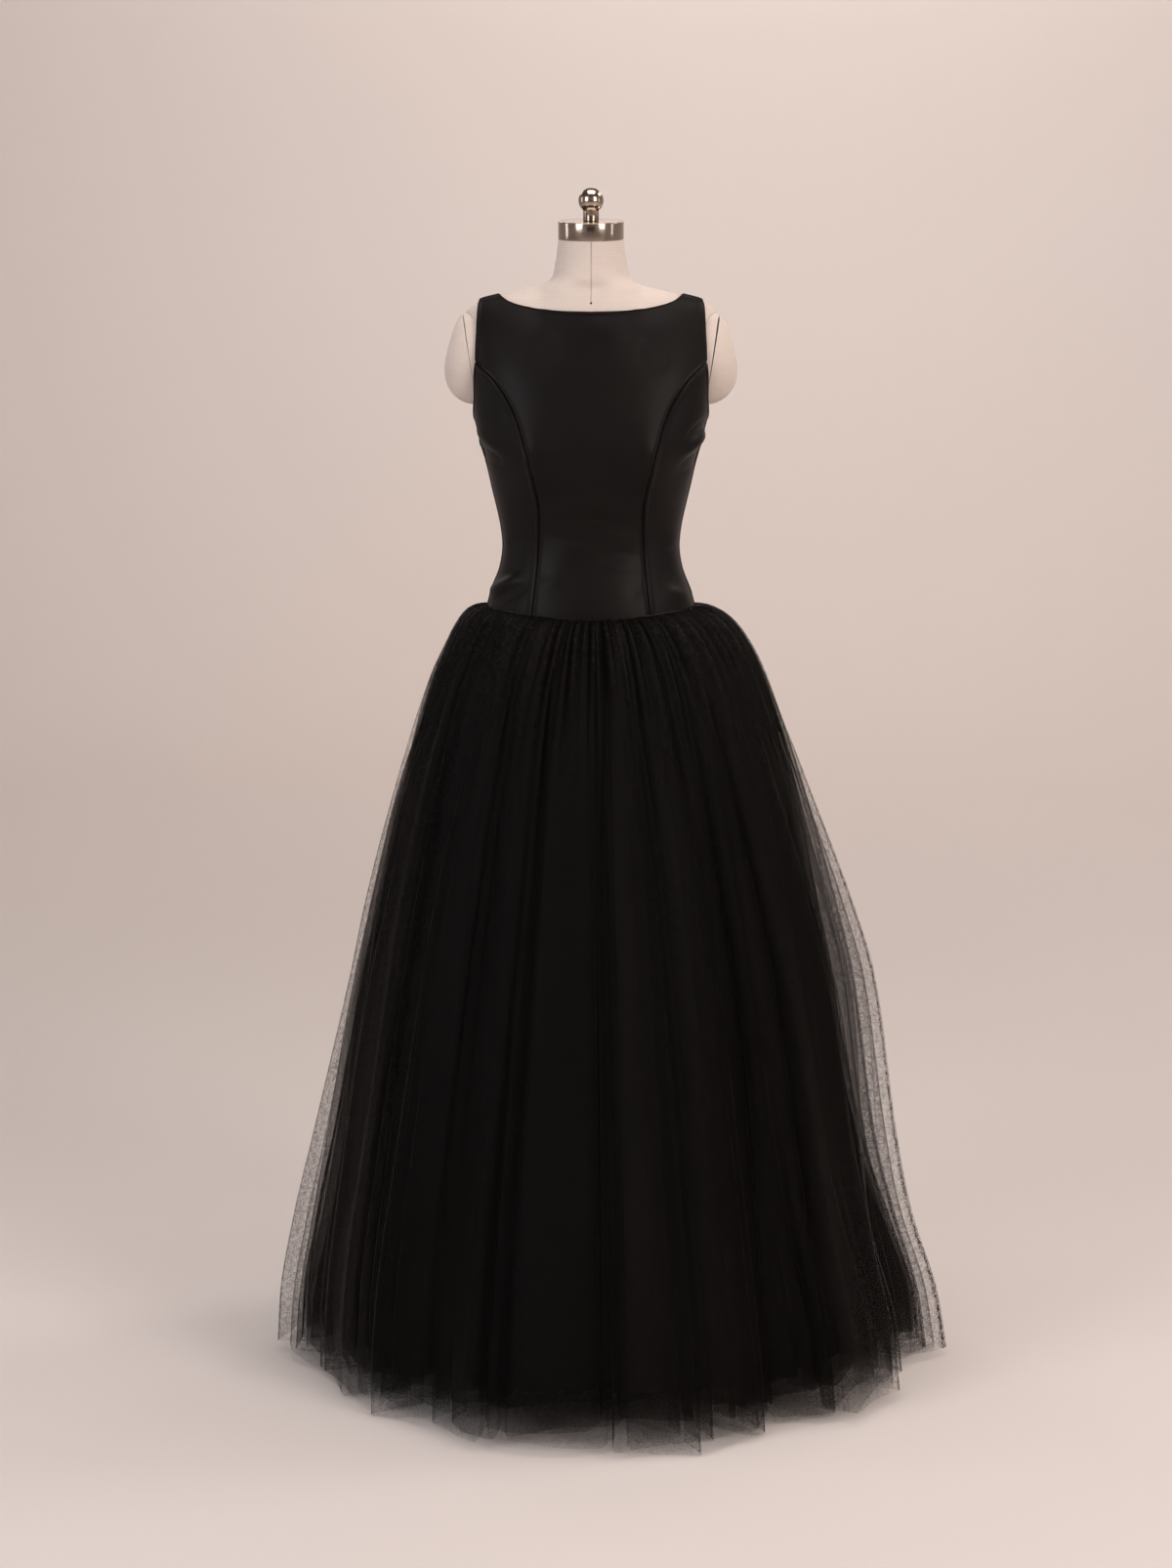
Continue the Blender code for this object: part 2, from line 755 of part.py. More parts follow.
def rounded_disc_profile(radius, low, high, edge):
    """A disc's profile from its top centre to its bottom centre, with small round edges."""
    turn = [radians(angle) for angle in (90, 45, 0)]
    top = [(radius - edge + edge * cos(a), high - edge + edge * sin(a)) for a in turn]
    bottom = [(radius - edge + edge * cos(a), low + edge - edge * sin(a)) for a in turn[::-1]]
    return [(0.0, high), *top, *bottom, (0.0, low)]


def build_neck_fittings(steel, collection):
    """The steel cap on the neck and the knob on its short stem, tilted with the neck's top."""
    seat = bpy.data.objects.new("neck_seat", None)
    seat.location = (0, 0, NECK_TOP)
    seat.rotation_euler = (radians(NECK_TILT), 0, 0)
    collection.objects.link(seat)
    cap_top = SEAM_GAP + NECK_CAP_HEIGHT
    cap = rounded_disc_profile(NECK_CAP_RADIUS, SEAM_GAP, cap_top, NECK_CAP_EDGE)
    turned("neck_cap", cap, 28, steel, collection, seat)
    stem_low = cap_top + SEAM_GAP
    centre = stem_low + STEM_HEIGHT + sqrt(KNOB_RADIUS ** 2 - STEM_RADIUS ** 2)
    lowest = -radians(90) + atan2(STEM_RADIUS, sqrt(KNOB_RADIUS ** 2 - STEM_RADIUS ** 2))
    arcs = 9
    sweep = [between(radians(90), lowest, i / arcs) for i in range(arcs + 1)]
    ball = [(KNOB_RADIUS * cos(a), centre + KNOB_RADIUS * sin(a)) for a in sweep]
    ball[0] = (0.0, centre + KNOB_RADIUS)
    knob = [*ball, (STEM_RADIUS, stem_low), (0.0, stem_low)]
    turned("neck_knob", knob, 20, steel, collection, seat)


def build_stand(steel, black, collection):
    """A round base plate on the floor and a pole up to the form's underside."""
    base = rounded_disc_profile(BASE_RADIUS, 0.0, BASE_THICKNESS, BASE_EDGE)
    turned("stand_base", base, 40, black, collection, None)
    length = FORM_BOTTOM - BASE_THICKNESS - 2 * SEAM_GAP
    middle = (FORM_BOTTOM + BASE_THICKNESS) / 2
    bpy.ops.mesh.primitive_cylinder_add(
        vertices=24, radius=POLE_RADIUS, depth=length, location=(0, 0, middle)
    )
    pole = bpy.context.object
    pole.name = "stand_pole"
    pole.data.materials.append(steel)
    move_to(pole, collection)


def move_to(item, collection):
    for held in list(item.users_collection):
        held.objects.unlink(item)
    collection.objects.link(item)


def box(name, size, centre, collection, parent):
    """A plain box, its size applied to its mesh, placed in its parent's space."""
    bpy.ops.mesh.primitive_cube_add(size=1)
    made = bpy.context.object
    made.name = name
    for vert in made.data.vertices:
        vert.co = Vector(c * s for c, s in zip(vert.co, size)) + Vector(centre)
    made.parent = parent
    move_to(made, collection)
    return made


def join(target, others):
    """Union each of the others into the target with a Boolean."""
    for other in others:
        other.hide_render = True
        other.display_type = "WIRE"
        union = target.modifiers.new(other.name, "BOOLEAN")
        union.operation = "UNION"
        union.solver = "EXACT"
        union.object = other


def build_zip(finish, collection, cutters):
    """The invisible zip's slider at the top of the centre back, and its hinged pull tab."""
    back_y = WORN.half_depth(0, SLIDER_HEIGHT, True) + SEAM_GAP / 2
    outward = WORN.outward(Vector((0, back_y, SLIDER_HEIGHT)))
    lean = atan2(outward.z, outward.y)
    seat = bpy.data.objects.new("zip_seat", None)
    seat.location = (0, back_y, SLIDER_HEIGHT)
    seat.rotation_euler = (lean, 0, 0)
    collection.objects.link(seat)
    thick = SLIDER_SIZE[1]
    slider = box("zip_slider", SLIDER_SIZE, (0, SEAM_GAP + thick / 2, 0), collection, seat)
    slider.data.materials.append(finish)
    bevel = slider.modifiers.new("soft edges", "BEVEL")
    bevel.width = 0.0006
    bevel.segments = 2
    top = SEAM_GAP + thick
    post = (BRIDGE_WIDTH, TUNNEL_HEIGHT + BRIDGE_BAR + thick / 2, BRIDGE_BAR)
    post_y = top - thick / 2 + post[1] / 2
    post_z = (TUNNEL_LENGTH + BRIDGE_BAR) / 2
    bar = (BRIDGE_WIDTH, BRIDGE_BAR, TUNNEL_LENGTH + BRIDGE_BAR)
    bridge = [
        box("bridge_post_high", post, (0, post_y, post_z), cutters, seat),
        box("bridge_post_low", post, (0, post_y, -post_z), cutters, seat),
        box("bridge_bar", bar, (0, top + TUNNEL_HEIGHT + BRIDGE_BAR / 2, 0), cutters, seat),
    ]
    join(slider, bridge)

    pivot = bpy.data.objects.new("zip_pull_axis", None)
    pivot.parent = seat
    pivot.location = (0, top + TUNNEL_HEIGHT / 2, 0)
    collection.objects.link(pivot)
    bpy.ops.mesh.primitive_cylinder_add(
        vertices=12,
        radius=PULL_BAR_RADIUS,
        depth=2 * PULL_ARM_X + PULL_ARM_WIDTH,
        rotation=(0, pi / 2, 0),
    )
    rod = bpy.context.object
    bpy.ops.object.transform_apply(location=False, rotation=True, scale=False)
    rod.name = "zip_pull"
    rod.data.materials.append(finish)
    rod.parent = pivot
    move_to(rod, collection)
    arm = (PULL_ARM_WIDTH, PULL_THICKNESS, PULL_WINDOW + PULL_ARM_WIDTH)
    tab_size = (PULL_TAB_WIDTH, PULL_THICKNESS, PULL_TAB_LENGTH)
    tab = box("pull_plate", tab_size, (0, 0, -PULL_WINDOW - PULL_TAB_LENGTH / 2), cutters, pivot)
    arms = [
        box(f"pull_arm_{side}", arm, (way * PULL_ARM_X, 0, -arm[2] / 2), cutters, pivot)
        for side, way in (("left", -1), ("right", 1))
    ]
    join(rod, [*arms, tab])


def build():
    clear_scene()
    gown = new_collection("bridesmaid_gown_on_dress_form")
    cutters = new_collection("joined_shapes")
    satin = material("black_satin", BLACK_SATIN, 0.42)
    tulle = material("black_tulle", BLACK_TULLE, 0.8)
    lining = material("black_lining", BLACK_LINING, 0.7)
    linen = material("beige_linen", BEIGE_LINEN, 0.85)
    steel = material("polished_steel", STEEL, 0.25, 1.0)
    black = material("black_metal", BLACK_METAL, 0.45, 0.6)
    build_bodice(satin, gown)
    build_skirt_layer(OUTER_TULLE, tulle, gown)
    build_skirt_layer(INNER_TULLE, tulle, gown)
    build_skirt_layer(LINING, lining, gown)
    build_torso(linen, gown)
    build_arm_caps(linen, gown)
    build_neck_fittings(steel, gown)
    build_stand(steel, black, gown)
    build_zip(black, gown, cutters)


build()
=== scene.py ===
"""The looks of a black satin and tulle bridesmaid gown on a linen dress form.

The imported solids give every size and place. The front faces -Y, +X is the
viewer's right, +Z is up, and all sizes are in metres unless a name says mm.
"""

import logging
from dataclasses import dataclass
from enum import Enum
from math import atan2, cos, pi, radians, sin, sqrt, tan
from typing import Any, Callable

import bmesh
import bpy
import numpy as np
from mathutils import Matrix, Vector


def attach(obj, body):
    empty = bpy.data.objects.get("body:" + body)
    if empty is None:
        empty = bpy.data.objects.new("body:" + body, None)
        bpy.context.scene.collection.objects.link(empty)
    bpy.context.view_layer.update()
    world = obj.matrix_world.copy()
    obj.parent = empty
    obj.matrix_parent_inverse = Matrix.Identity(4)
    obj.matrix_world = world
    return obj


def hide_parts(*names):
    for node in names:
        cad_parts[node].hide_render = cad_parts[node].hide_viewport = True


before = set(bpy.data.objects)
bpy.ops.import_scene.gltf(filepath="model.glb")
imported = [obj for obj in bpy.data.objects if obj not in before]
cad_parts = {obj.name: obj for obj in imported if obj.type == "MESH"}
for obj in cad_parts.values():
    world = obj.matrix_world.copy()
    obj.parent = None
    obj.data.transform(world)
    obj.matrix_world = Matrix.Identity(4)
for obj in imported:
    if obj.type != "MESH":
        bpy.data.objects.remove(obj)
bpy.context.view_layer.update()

LOG = logging.getLogger("gown")
GOWN_BODY = "gown_on_form"

# The gown's own sizes, as its solids have them
SEAM_GAP = 0.0003
SATIN_WALL = 0.0015
HIP_LEVEL = 1.12
CHEST_LEVEL = 1.20
WAIST_SEAM_SIDE = 1.082
WAIST_SEAM_DIP = 0.012
UNDERARM = 1.345
SHOULDER_START = 1.38
SEAM_MEETS_ARMHOLE = 1.4235
NECK_POINT_X = 0.128
ARMHOLE_X = 0.1605
BUST_X = 0.088
BUST_HEIGHT = 1.292
BUST_RISE = 0.014
BUST_WIDTH = 0.036
BUST_TALL = 0.042
NECK_TOP = 1.5895
NECK_TILT = 5.0
HALVINGS = 34
PAST_THE_BODY = 0.3
NEARLY_NOTHING = 1e-9
UNDER_ONE = 0.9999
SHARP_DEGREES = 40.0
MIRROR_X = np.array([-1.0, 1.0, 1.0])

Rows = tuple[tuple[float, ...], ...]

# Height, half width, depth to the front and to the back, squareness
BODY_ROWS: Rows = (
    (0.800, 0.140, 0.092, 0.098, 2.2),
    (0.870, 0.151, 0.101, 0.112, 2.2),
    (0.950, 0.158, 0.107, 0.120, 2.2),
    (1.020, 0.154, 0.107, 0.114, 2.25),
    (1.060, 0.147, 0.105, 0.107, 2.3),
    (1.083, 0.144, 0.103, 0.102, 2.3),
    (1.108, 0.1363, 0.098, 0.096, 2.3),
    (1.135, 0.1266, 0.091, 0.089, 2.3),
    (1.163, 0.1224, 0.0875, 0.0835, 2.3),
    (1.190, 0.1244, 0.089, 0.083, 2.3),
    (1.217, 0.1297, 0.095, 0.085, 2.35),
    (1.245, 0.1365, 0.104, 0.088, 2.45),
    (1.272, 0.1426, 0.112, 0.092, 2.55),
    (1.299, 0.150, 0.1165, 0.097, 2.6),
    (1.326, 0.157, 0.115, 0.101, 2.7),
    (1.345, 0.162, 0.112, 0.1035, 2.75),
    (1.380, 0.1645, 0.105, 0.1055, 2.9),
    (1.4075, 0.1665, 0.0985, 0.1055, 2.85),
    (1.445, 0.1695, 0.088, 0.103, 2.6),
    (1.475, 0.175, 0.080, 0.096, 2.45),
    (1.491, 0.178, 0.076, 0.090, 2.4),
    (1.530, 0.178, 0.068, 0.078, 2.4),
)
# Distance from the centre line, height of the shoulder's ridge
SHOULDER_ROWS: Rows = (
    (0.000, 1.600), (0.030, 1.584), (0.055, 1.547), (0.0706, 1.5294), (0.1017, 1.5213),
    (0.128, 1.5135), (0.156, 1.5055), (0.175, 1.4935), (0.180, 1.487),
)
# Height, distance of a princess seam from the centre line
FRONT_PRINCESS: Rows = (
    (1.070, 0.0832), (1.136, 0.0757), (1.183, 0.0725), (1.231, 0.0737), (1.305, 0.0915),
    (1.356, 0.1080), (1.396, 0.1325), (SEAM_MEETS_ARMHOLE, ARMHOLE_X),
)
BACK_PRINCESS: Rows = (
    (1.070, 0.0790), (1.136, 0.0690), (1.183, 0.0660), (1.231, 0.0700), (1.305, 0.0890),
    (1.356, 0.1070), (1.396, 0.1325), (SEAM_MEETS_ARMHOLE, ARMHOLE_X),
)
# Distance from the centre line, height of the neck edge
FRONT_NECKLINE: Rows = (
    (0.000, 1.491), (0.060, 1.4932), (0.100, 1.4998), (0.116, 1.5050), (0.124, 1.5100),
    (NECK_POINT_X, 1.5135),
)
BACK_NECKLINE: Rows = (
    (0.000, 1.4830), (0.060, 1.4880), (0.100, 1.4980), (0.116, 1.5045), (0.124, 1.5100),
    (NECK_POINT_X, 1.5135),
)
# Where the centre panels' columns end on the neck edge and the shoulder seam
TOP_COLUMNS = (0.0, 0.036, 0.068, 0.094, 0.111, 0.1205, 0.1250, 0.1275, NECK_POINT_X, 0.142, 0.156)


def linear(code: str) -> tuple[float, float, float, float]:
    """Turn an sRGB hex colour to linear red, green, blue and an alpha of 1.

    Args:
        code: The colour as six hex digits, with or without a hash.

    Returns:
        Four numbers for a colour socket.
    """
    parts = [int(code.lstrip("#")[i : i + 2], 16) / 255 for i in (0, 2, 4)]
    made = [c / 12.92 if c <= 0.04045 else ((c + 0.055) / 1.055) ** 2.4 for c in parts]
    return (made[0], made[1], made[2], 1.0)


def add_node(tree: bpy.types.NodeTree, kind: str, settings: dict[str, Any] | None = None,
             inputs: dict[Any, Any] | None = None) -> bpy.types.Node:
    """Add one node with its settings, its values and its links.

    Args:
        tree: The node tree that gets the node.
        kind: Blender's name for the node's type.
        settings: Properties of the node, by name.
        inputs: Values or other nodes' output sockets, by input name or number.

    Returns:
        The new node.
    """
    node = tree.nodes.new(kind)
    for name, value in (settings or {}).items():
        setattr(node, name, value)
    for name, value in (inputs or {}).items():
        if isinstance(value, bpy.types.NodeSocket):
            tree.links.new(value, node.inputs[name])
        else:
            node.inputs[name].default_value = value
    return node


def blank_material(name: str) -> tuple[bpy.types.Material, bpy.types.NodeTree, bpy.types.Node]:
    """Start a material that holds only its shader.

    Args:
        name: What the material is and how it was made.

    Returns:
        The material, its tree and its Principled shader.
    """
    made = bpy.data.materials.new(name)
    made.use_nodes = True
    return made, made.node_tree, made.node_tree.nodes["Principled BSDF"]


def smooth_step(low: float, high: float, place: np.ndarray) -> np.ndarray:
    """Give 0 below low, 1 above high and a smooth step between."""
    t = np.clip((place - low) / (high - low), 0.0, 1.0)
    return t * t * (3 - 2 * t)


def along(rows: Rows, column: int, place: np.ndarray | float) -> np.ndarray:
    """Read a column at places along a table, on a smooth curve through its rows.

    Args:
        rows: The table, its first column rising.
        column: Which column is read.
        place: Values of the first column.

    Returns:
        The column's values there.
    """
    table = np.array(rows, float)
    keys, values = table[:, 0], table[:, column]
    place = np.clip(place, keys[0], keys[-1])
    row = np.clip(np.searchsorted(keys, place, side="right") - 1, 0, len(keys) - 2)
    index = np.arange(len(keys))
    low, high = np.maximum(index - 1, 0), np.minimum(index + 1, len(keys) - 1)
    slopes = (values[high] - values[low]) / (keys[high] - keys[low])
    span = keys[row + 1] - keys[row]
    t = (place - keys[row]) / span
    return (
        values[row] * (2 * t**3 - 3 * t**2 + 1)
        + slopes[row] * span * (t**3 - 2 * t**2 + t)
        + values[row + 1] * (3 * t**2 - 2 * t**3)
        + slopes[row + 1] * span * (t**3 - t**2)
    )


def narrowed(low: np.ndarray, high: np.ndarray,
             holds: Callable[[np.ndarray], np.ndarray]) -> tuple[np.ndarray, np.ndarray]:
    """Halve the ways between two places until they meet where something stops holding.

    Args:
        low: Places where it holds.
        high: Places where it doesn't.
        holds: Says for each place between them whether it holds.

    Returns:
        The last places found where it holds, and the nearest where it doesn't.
    """
    for _ in range(HALVINGS):
        middle = (low + high) / 2
        held = holds(middle)
        low, high = np.where(held, middle, low), np.where(held, high, middle)
    return low, high


@dataclass(frozen=True)
class BodyShape:
    """The surface that the gown or its form follows, as the solids have it."""

    chest_inset: float = 0.0
    hip_inset: float = 0.0
    ridge_inset: float = 0.0

    def inset(self, height: np.ndarray) -> np.ndarray:
        """Give how far inside the worn surface this one lies at a height."""
        share = smooth_step(HIP_LEVEL, CHEST_LEVEL, height)
        return self.hip_inset + (self.chest_inset - self.hip_inset) * share

    def room(self, x: np.ndarray, height: np.ndarray) -> tuple[np.ndarray, np.ndarray, np.ndarray]:
        """Give how much of the depth is left.

        Args:
            x: Distances from the centre line.
            height: Heights above the floor.

        Returns:
            The shares left across and up, and the squareness.
        """
        power = along(BODY_ROWS, 4, height)
        half_width = along(BODY_ROWS, 1, height) - self.inset(height)
        across = 1 - (np.abs(x) / half_width) ** power
        ridge = along(SHOULDER_ROWS, 1, np.abs(x)) - self.ridge_inset
        risen = np.maximum(height - SHOULDER_START, 0.0) / (ridge - SHOULDER_START)
        return across, 1 - risen**power, power

    def depth(self, x: np.ndarray, height: np.ndarray, back: np.ndarray | bool) -> np.ndarray:
        """Give the depth at the middle of a level, with the bust's fullness at x.

        Args:
            x: Distances from the centre line.
            height: Heights above the floor.
            back: Whether it is the back's surface.

        Returns:
            The depths.
        """
        away = ((np.abs(x) - BUST_X) / BUST_WIDTH) ** 2 + ((height - BUST_HEIGHT) / BUST_TALL) ** 2
        front = along(BODY_ROWS, 2, height) + BUST_RISE * np.exp(-away)
        return np.where(back, along(BODY_ROWS, 3, height), front) - self.inset(height)

    def half_depth(self, x: np.ndarray, height: np.ndarray, back: np.ndarray | bool) -> np.ndarray:
        """Give the distance from the side line to the surface, 0 where there is none.

        Args:
            x: Distances from the centre line.
            height: Heights above the floor.
            back: Whether it is the back's surface.

        Returns:
            The distances.
        """
        across, up, power = self.room(x, height)
        room = np.maximum(across, 0) * np.maximum(up, 0)
        return self.depth(x, height, back) * room ** (1 / power)

    def level(self, points: np.ndarray) -> np.ndarray:
        """Give a value below 0 inside the body and above 0 outside.

        Args:
            points: Points in its last axis.

        Returns:
            One value a point, 0 on the surface.
        """
        x, y, height = points[..., 0], points[..., 1], points[..., 2]
        across, up, power = self.room(x, height)
        return (np.abs(y) / self.depth(x, height, y > 0)) ** power - across * up

    def outward(self, points: np.ndarray) -> np.ndarray:
        """Give the unit directions straight out of the surface at points on it.

        Args:
            points: Points in its last axis.

        Returns:
            One direction a point.
        """
        step, least = 0.0002, 1e-12
        parts = []
        for axis in range(3):
            shift = np.zeros(3)
            shift[axis] = step
            parts.append(self.level(points + shift) - self.level(points - shift))
        slope = np.stack(parts, axis=-1)
        return slope / np.maximum(np.linalg.norm(slope, axis=-1, keepdims=True), least)

    def inside(self, x: np.ndarray, y: np.ndarray, height: np.ndarray, back: np.ndarray | bool) -> np.ndarray:
        """Say whether each place is inside the body."""
        across, up, _ = self.room(x, height)
        return (across > 0) & (up > 0) & (np.abs(y) < self.half_depth(x, height, back))

    def reach(self, angle: np.ndarray, height: np.ndarray) -> np.ndarray:
        """Give the distance from the axis to the surface.

        Args:
            angle: The turn, 0 at the centre front and a quarter turn at +X.
            height: Heights above the floor.

        Returns:
            The distances.
        """
        back = np.cos(angle) < 0
        axis = np.zeros(np.broadcast(angle, height).shape)
        return narrowed(axis, np.full_like(axis, PAST_THE_BODY), lambda reach: self.inside(
            reach * np.sin(angle), reach * np.cos(angle), height, back))[0]

    def side_x(self, y: np.ndarray, height: np.ndarray) -> np.ndarray:
        """Give the furthest x at which the body is as deep as y.

        Args:
            y: Places front to back.
            height: Heights above the floor.

        Returns:
            The distances from the centre line.
        """
        axis = np.zeros(np.broadcast(y, height).shape)
        return narrowed(axis, np.full_like(axis, PAST_THE_BODY),
                        lambda x: self.inside(x, y, height, y > 0))[0]


WORN = BodyShape()
FORM = BodyShape(chest_inset=0.0052, hip_inset=0.006, ridge_inset=0.0023)


def waist_seam(angle: np.ndarray) -> np.ndarray:
    """Give the dropped waist seam's height, lowest at the centre front and back."""
    return WAIST_SEAM_SIDE - WAIST_SEAM_DIP * np.cos(angle) ** 2


def waist_seam_at(x: np.ndarray, back: bool) -> np.ndarray:
    """Give the dropped waist seam's height at distances from the centre line.

    Args:
        x: The distances.
        back: Whether it is the back's seam.

    Returns:
        The heights.
    """
    height = np.full(np.shape(x), WAIST_SEAM_SIDE)
    for _ in range(4):
        height = waist_seam(np.arctan2(np.abs(x), WORN.half_depth(x, height, back)))
    return height


def grid_faces(columns: int, rows: int, closed: bool, first: int = 0) -> list[tuple[int, ...]]:
    """Give the quads of a grid whose points are numbered column by column.

    Args:
        columns: How many columns it has.
        rows: How many points a column has.
        closed: Whether the last column joins the first.
        first: The number of its first point.

    Returns:
        One tuple of four point numbers a quad.
    """
    faces = []
    for i in range(columns if closed else columns - 1):
        k = (i + 1) % columns
        for j in range(rows - 1):
            near, far = first + i * rows + j, first + k * rows + j
            faces.append((near, far, far + 1, near + 1))
    return faces


def closed_faces(columns: int, rows: int) -> list[tuple[int, ...]]:
    """Give the faces of a round grid whose two ends are closed at poles.

    Args:
        columns: How many columns it has, the last joined to the first.
        rows: How many points a column has.

    Returns:
        The quads, then two triangles a column to the poles, which are the last two points.
    """
    faces = grid_faces(columns, rows, True)
    pole = columns * rows
    for i in range(columns):
        k = (i + 1) % columns
        faces.append((k * rows, i * rows, pole))
        faces.append((i * rows + rows - 1, k * rows + rows - 1, pole + 1))
    return faces


def turned_points(profile: np.ndarray, steps: int) -> np.ndarray:
    """Turn a profile of radius and height about the upright axis.

    Args:
        profile: One row a point.
        steps: How many columns the turn has.

    Returns:
        The points, column by column.
    """
    turn = np.arange(steps) * 2 * pi / steps
    radius, height = profile[:, 0], profile[:, 1]
    return np.stack([np.outer(np.cos(turn), radius), np.outer(np.sin(turn), radius),
                     np.tile(height, (steps, 1))], axis=-1).reshape(-1, 3)


def cloth_measures(points: np.ndarray) -> tuple[np.ndarray, np.ndarray]:
    """Measure a grid of cloth along its own surface.

    Args:
        points: The grid, columns by rows by 3.

    Returns:
        How far across and how far up the cloth each point is.
    """
    across = np.linalg.norm(np.diff(points, axis=0, prepend=points[:1]), axis=-1).cumsum(axis=0)
    up = np.linalg.norm(np.diff(points, axis=1, prepend=points[:, :1]), axis=-1).cumsum(axis=1)
    return across, up


def new_piece(name: str, points: np.ndarray, faces: list[tuple[int, ...]], outward: np.ndarray | None = None,
              sharp: float = SHARP_DEGREES) -> bpy.types.Object:
    """Make an object at the origin from points and faces, its faces outwards.

    Args:
        name: The piece's name.
        points: Its points, one row each.
        faces: Its faces as tuples of point numbers.
        outward: The outward direction at the first points, or None for a closed piece.
        sharp: Edges over this many degrees stay sharp.

    Returns:
        The object, in the scene.
    """
    points = np.asarray(points, float).reshape(-1, 3)
    if outward is None:
        turned = False
        total = 0.0
        for face in faces:
            a = points[face[0]]
            for m in range(1, len(face) - 1):
                total += float(np.dot(a, np.cross(points[face[m]], points[face[m + 1]])))
        turned = total < 0
    else:
        near = np.asarray(outward, float).reshape(-1, 3)
        middle = faces[len(faces) // 3]
        a, b, c = (points[n] for n in middle[:3])
        turned = float(np.dot(np.cross(b - a, c - b), near[middle[0] % len(near)])) < 0
    if turned:
        faces = [face[::-1] for face in faces]
    mesh = bpy.data.meshes.new(name)
    mesh.from_pydata(points.tolist(), [], faces)
    mesh.update()
    mesh.shade_smooth()
    mesh.set_sharp_from_angle(angle=radians(sharp))
    made = bpy.data.objects.new(name, mesh)
    bpy.context.scene.collection.objects.link(made)
    return made


def shell(name: str, outer: np.ndarray, inner: np.ndarray, outward: np.ndarray) -> bpy.types.Object:
    """Make a thin closed wall between two matching grids.

    Args:
        name: The piece's name.
        outer: The outer grid, columns by rows by 3.
        inner: The inner grid, of the same shape.
        outward: The outer grid's outward directions.

    Returns:
        The object, in the scene.
    """
    columns, rows = outer.shape[:2]
    count = columns * rows
    faces = grid_faces(columns, rows, False)
    faces += [face[::-1] for face in grid_faces(columns, rows, False, count)]
    rim = [i * rows for i in range(columns)]
    rim += [(columns - 1) * rows + j for j in range(1, rows)]
    rim += [i * rows + rows - 1 for i in range(columns - 2, -1, -1)]
    rim += list(range(rows - 2, 0, -1))
    for near, far in zip(rim, rim[1:] + rim[:1]):
        faces.append((far, near, near + count, far + count))
    points = np.concatenate([outer.reshape(-1, 3), inner.reshape(-1, 3)])
    return new_piece(name, points, faces, outward)


def set_uv(piece: bpy.types.Object, across: np.ndarray, up: np.ndarray, wrap: float | None = None) -> None:
    """Give a piece its cloth's own flat measures as its UV map, in metres.

    Args:
        piece: The piece, its points in the same order as the measures.
        across: How far across the cloth each point is.
        up: How far along the cloth each point is.
        wrap: The cloth's whole width where its last column joins its first.
    """
    mesh = piece.data
    layer = mesh.uv_layers.new(name="cloth")
    loops = np.zeros(len(mesh.loops), int)
    mesh.loops.foreach_get("vertex_index", loops)
    flat = np.stack([across.ravel()[loops], up.ravel()[loops]], axis=-1)
    if wrap is not None:
        for face in mesh.polygons:
            part = flat[face.loop_start : face.loop_start + face.loop_total]
            if np.ptp(part[:, 0]) > wrap / 2:
                part[part[:, 0] < wrap / 2, 0] += wrap
    layer.data.foreach_set("uv", flat.ravel().astype(np.float32))


def dress(piece: bpy.types.Object, finish: bpy.types.Material,
          replaces: tuple[str, ...] = ()) -> None:
    """Give a piece its material, its body and the nodes it stands for.

    Args:
        piece: The finished piece.
        finish: Its material.
        replaces: The CAD nodes that it stands for.
    """
    piece.data.materials.clear()
    piece.data.materials.append(finish)
    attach(piece, GOWN_BODY)
    if replaces:
        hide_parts(*replaces)
    triangles = sum(len(face.vertices) - 2 for face in piece.data.polygons)
    LOG.info("%s: %d triangles", piece.name, triangles)


@dataclass(frozen=True)
class DuchesseSatin:
    """Woven polyester duchesse satin: heavy, smooth, with a broad soft sheen."""

    colour: str = "#0A0707"
    # Painted sheen: the lighter colour of random patches that stand for light caught by the satin
    painted_sheen: str = "#120E0C"
    yarn_mm: float = 1.4

    def material(self) -> bpy.types.Material:
        """Make it: black with a wide dull highlight, which is what tells satin from plain cloth.

        Returns:
            The material.
        """
        made, tree, shader = blank_material("duchesse_satin_woven_black")
        shader.inputs["Roughness"].default_value = 0.47
        shader.inputs["Specular IOR Level"].default_value = 0.12
        shader.inputs["Sheen Weight"].default_value = 0.025
        shader.inputs["Sheen Roughness"].default_value = 0.30
        shader.inputs["Sheen Tint"].default_value = linear("#D9BFAE")
        place = add_node(tree, "ShaderNodeTexCoord").outputs["Object"]
        # Drawn at 1.4 mm a yarn, four times coarser than the real 0.35 mm, so that it shows.
        stretched = add_node(tree, "ShaderNodeMapping", None,
                             {"Vector": place, "Scale": (1.0, 1.0, 0.16)}).outputs["Vector"]
        yarn = add_node(tree, "ShaderNodeTexNoise", None,
                        {"Vector": stretched, "Scale": 1000 / self.yarn_mm, "Detail": 2.0, "Roughness": 0.6})
        # Patches about 110 mm wide are painted a little lighter: a painted sheen where they would have caught
        # more light.
        cloudy = add_node(tree, "ShaderNodeTexNoise", None, {"Vector": place, "Scale": 9.0, "Detail": 3.0})
        tint = add_node(tree, "ShaderNodeMix", {"data_type": "RGBA"},
                        {0: cloudy.outputs["Fac"], 6: linear(self.colour), 7: linear(self.painted_sheen)})
        tree.links.new(tint.outputs[2], shader.inputs["Base Color"])
        bump = add_node(tree, "ShaderNodeBump", None,
                        {"Strength": 0.12, "Distance": 0.0004, "Height": yarn.outputs["Fac"]})
        tree.links.new(bump.outputs["Normal"], shader.inputs["Normal"])
        return made


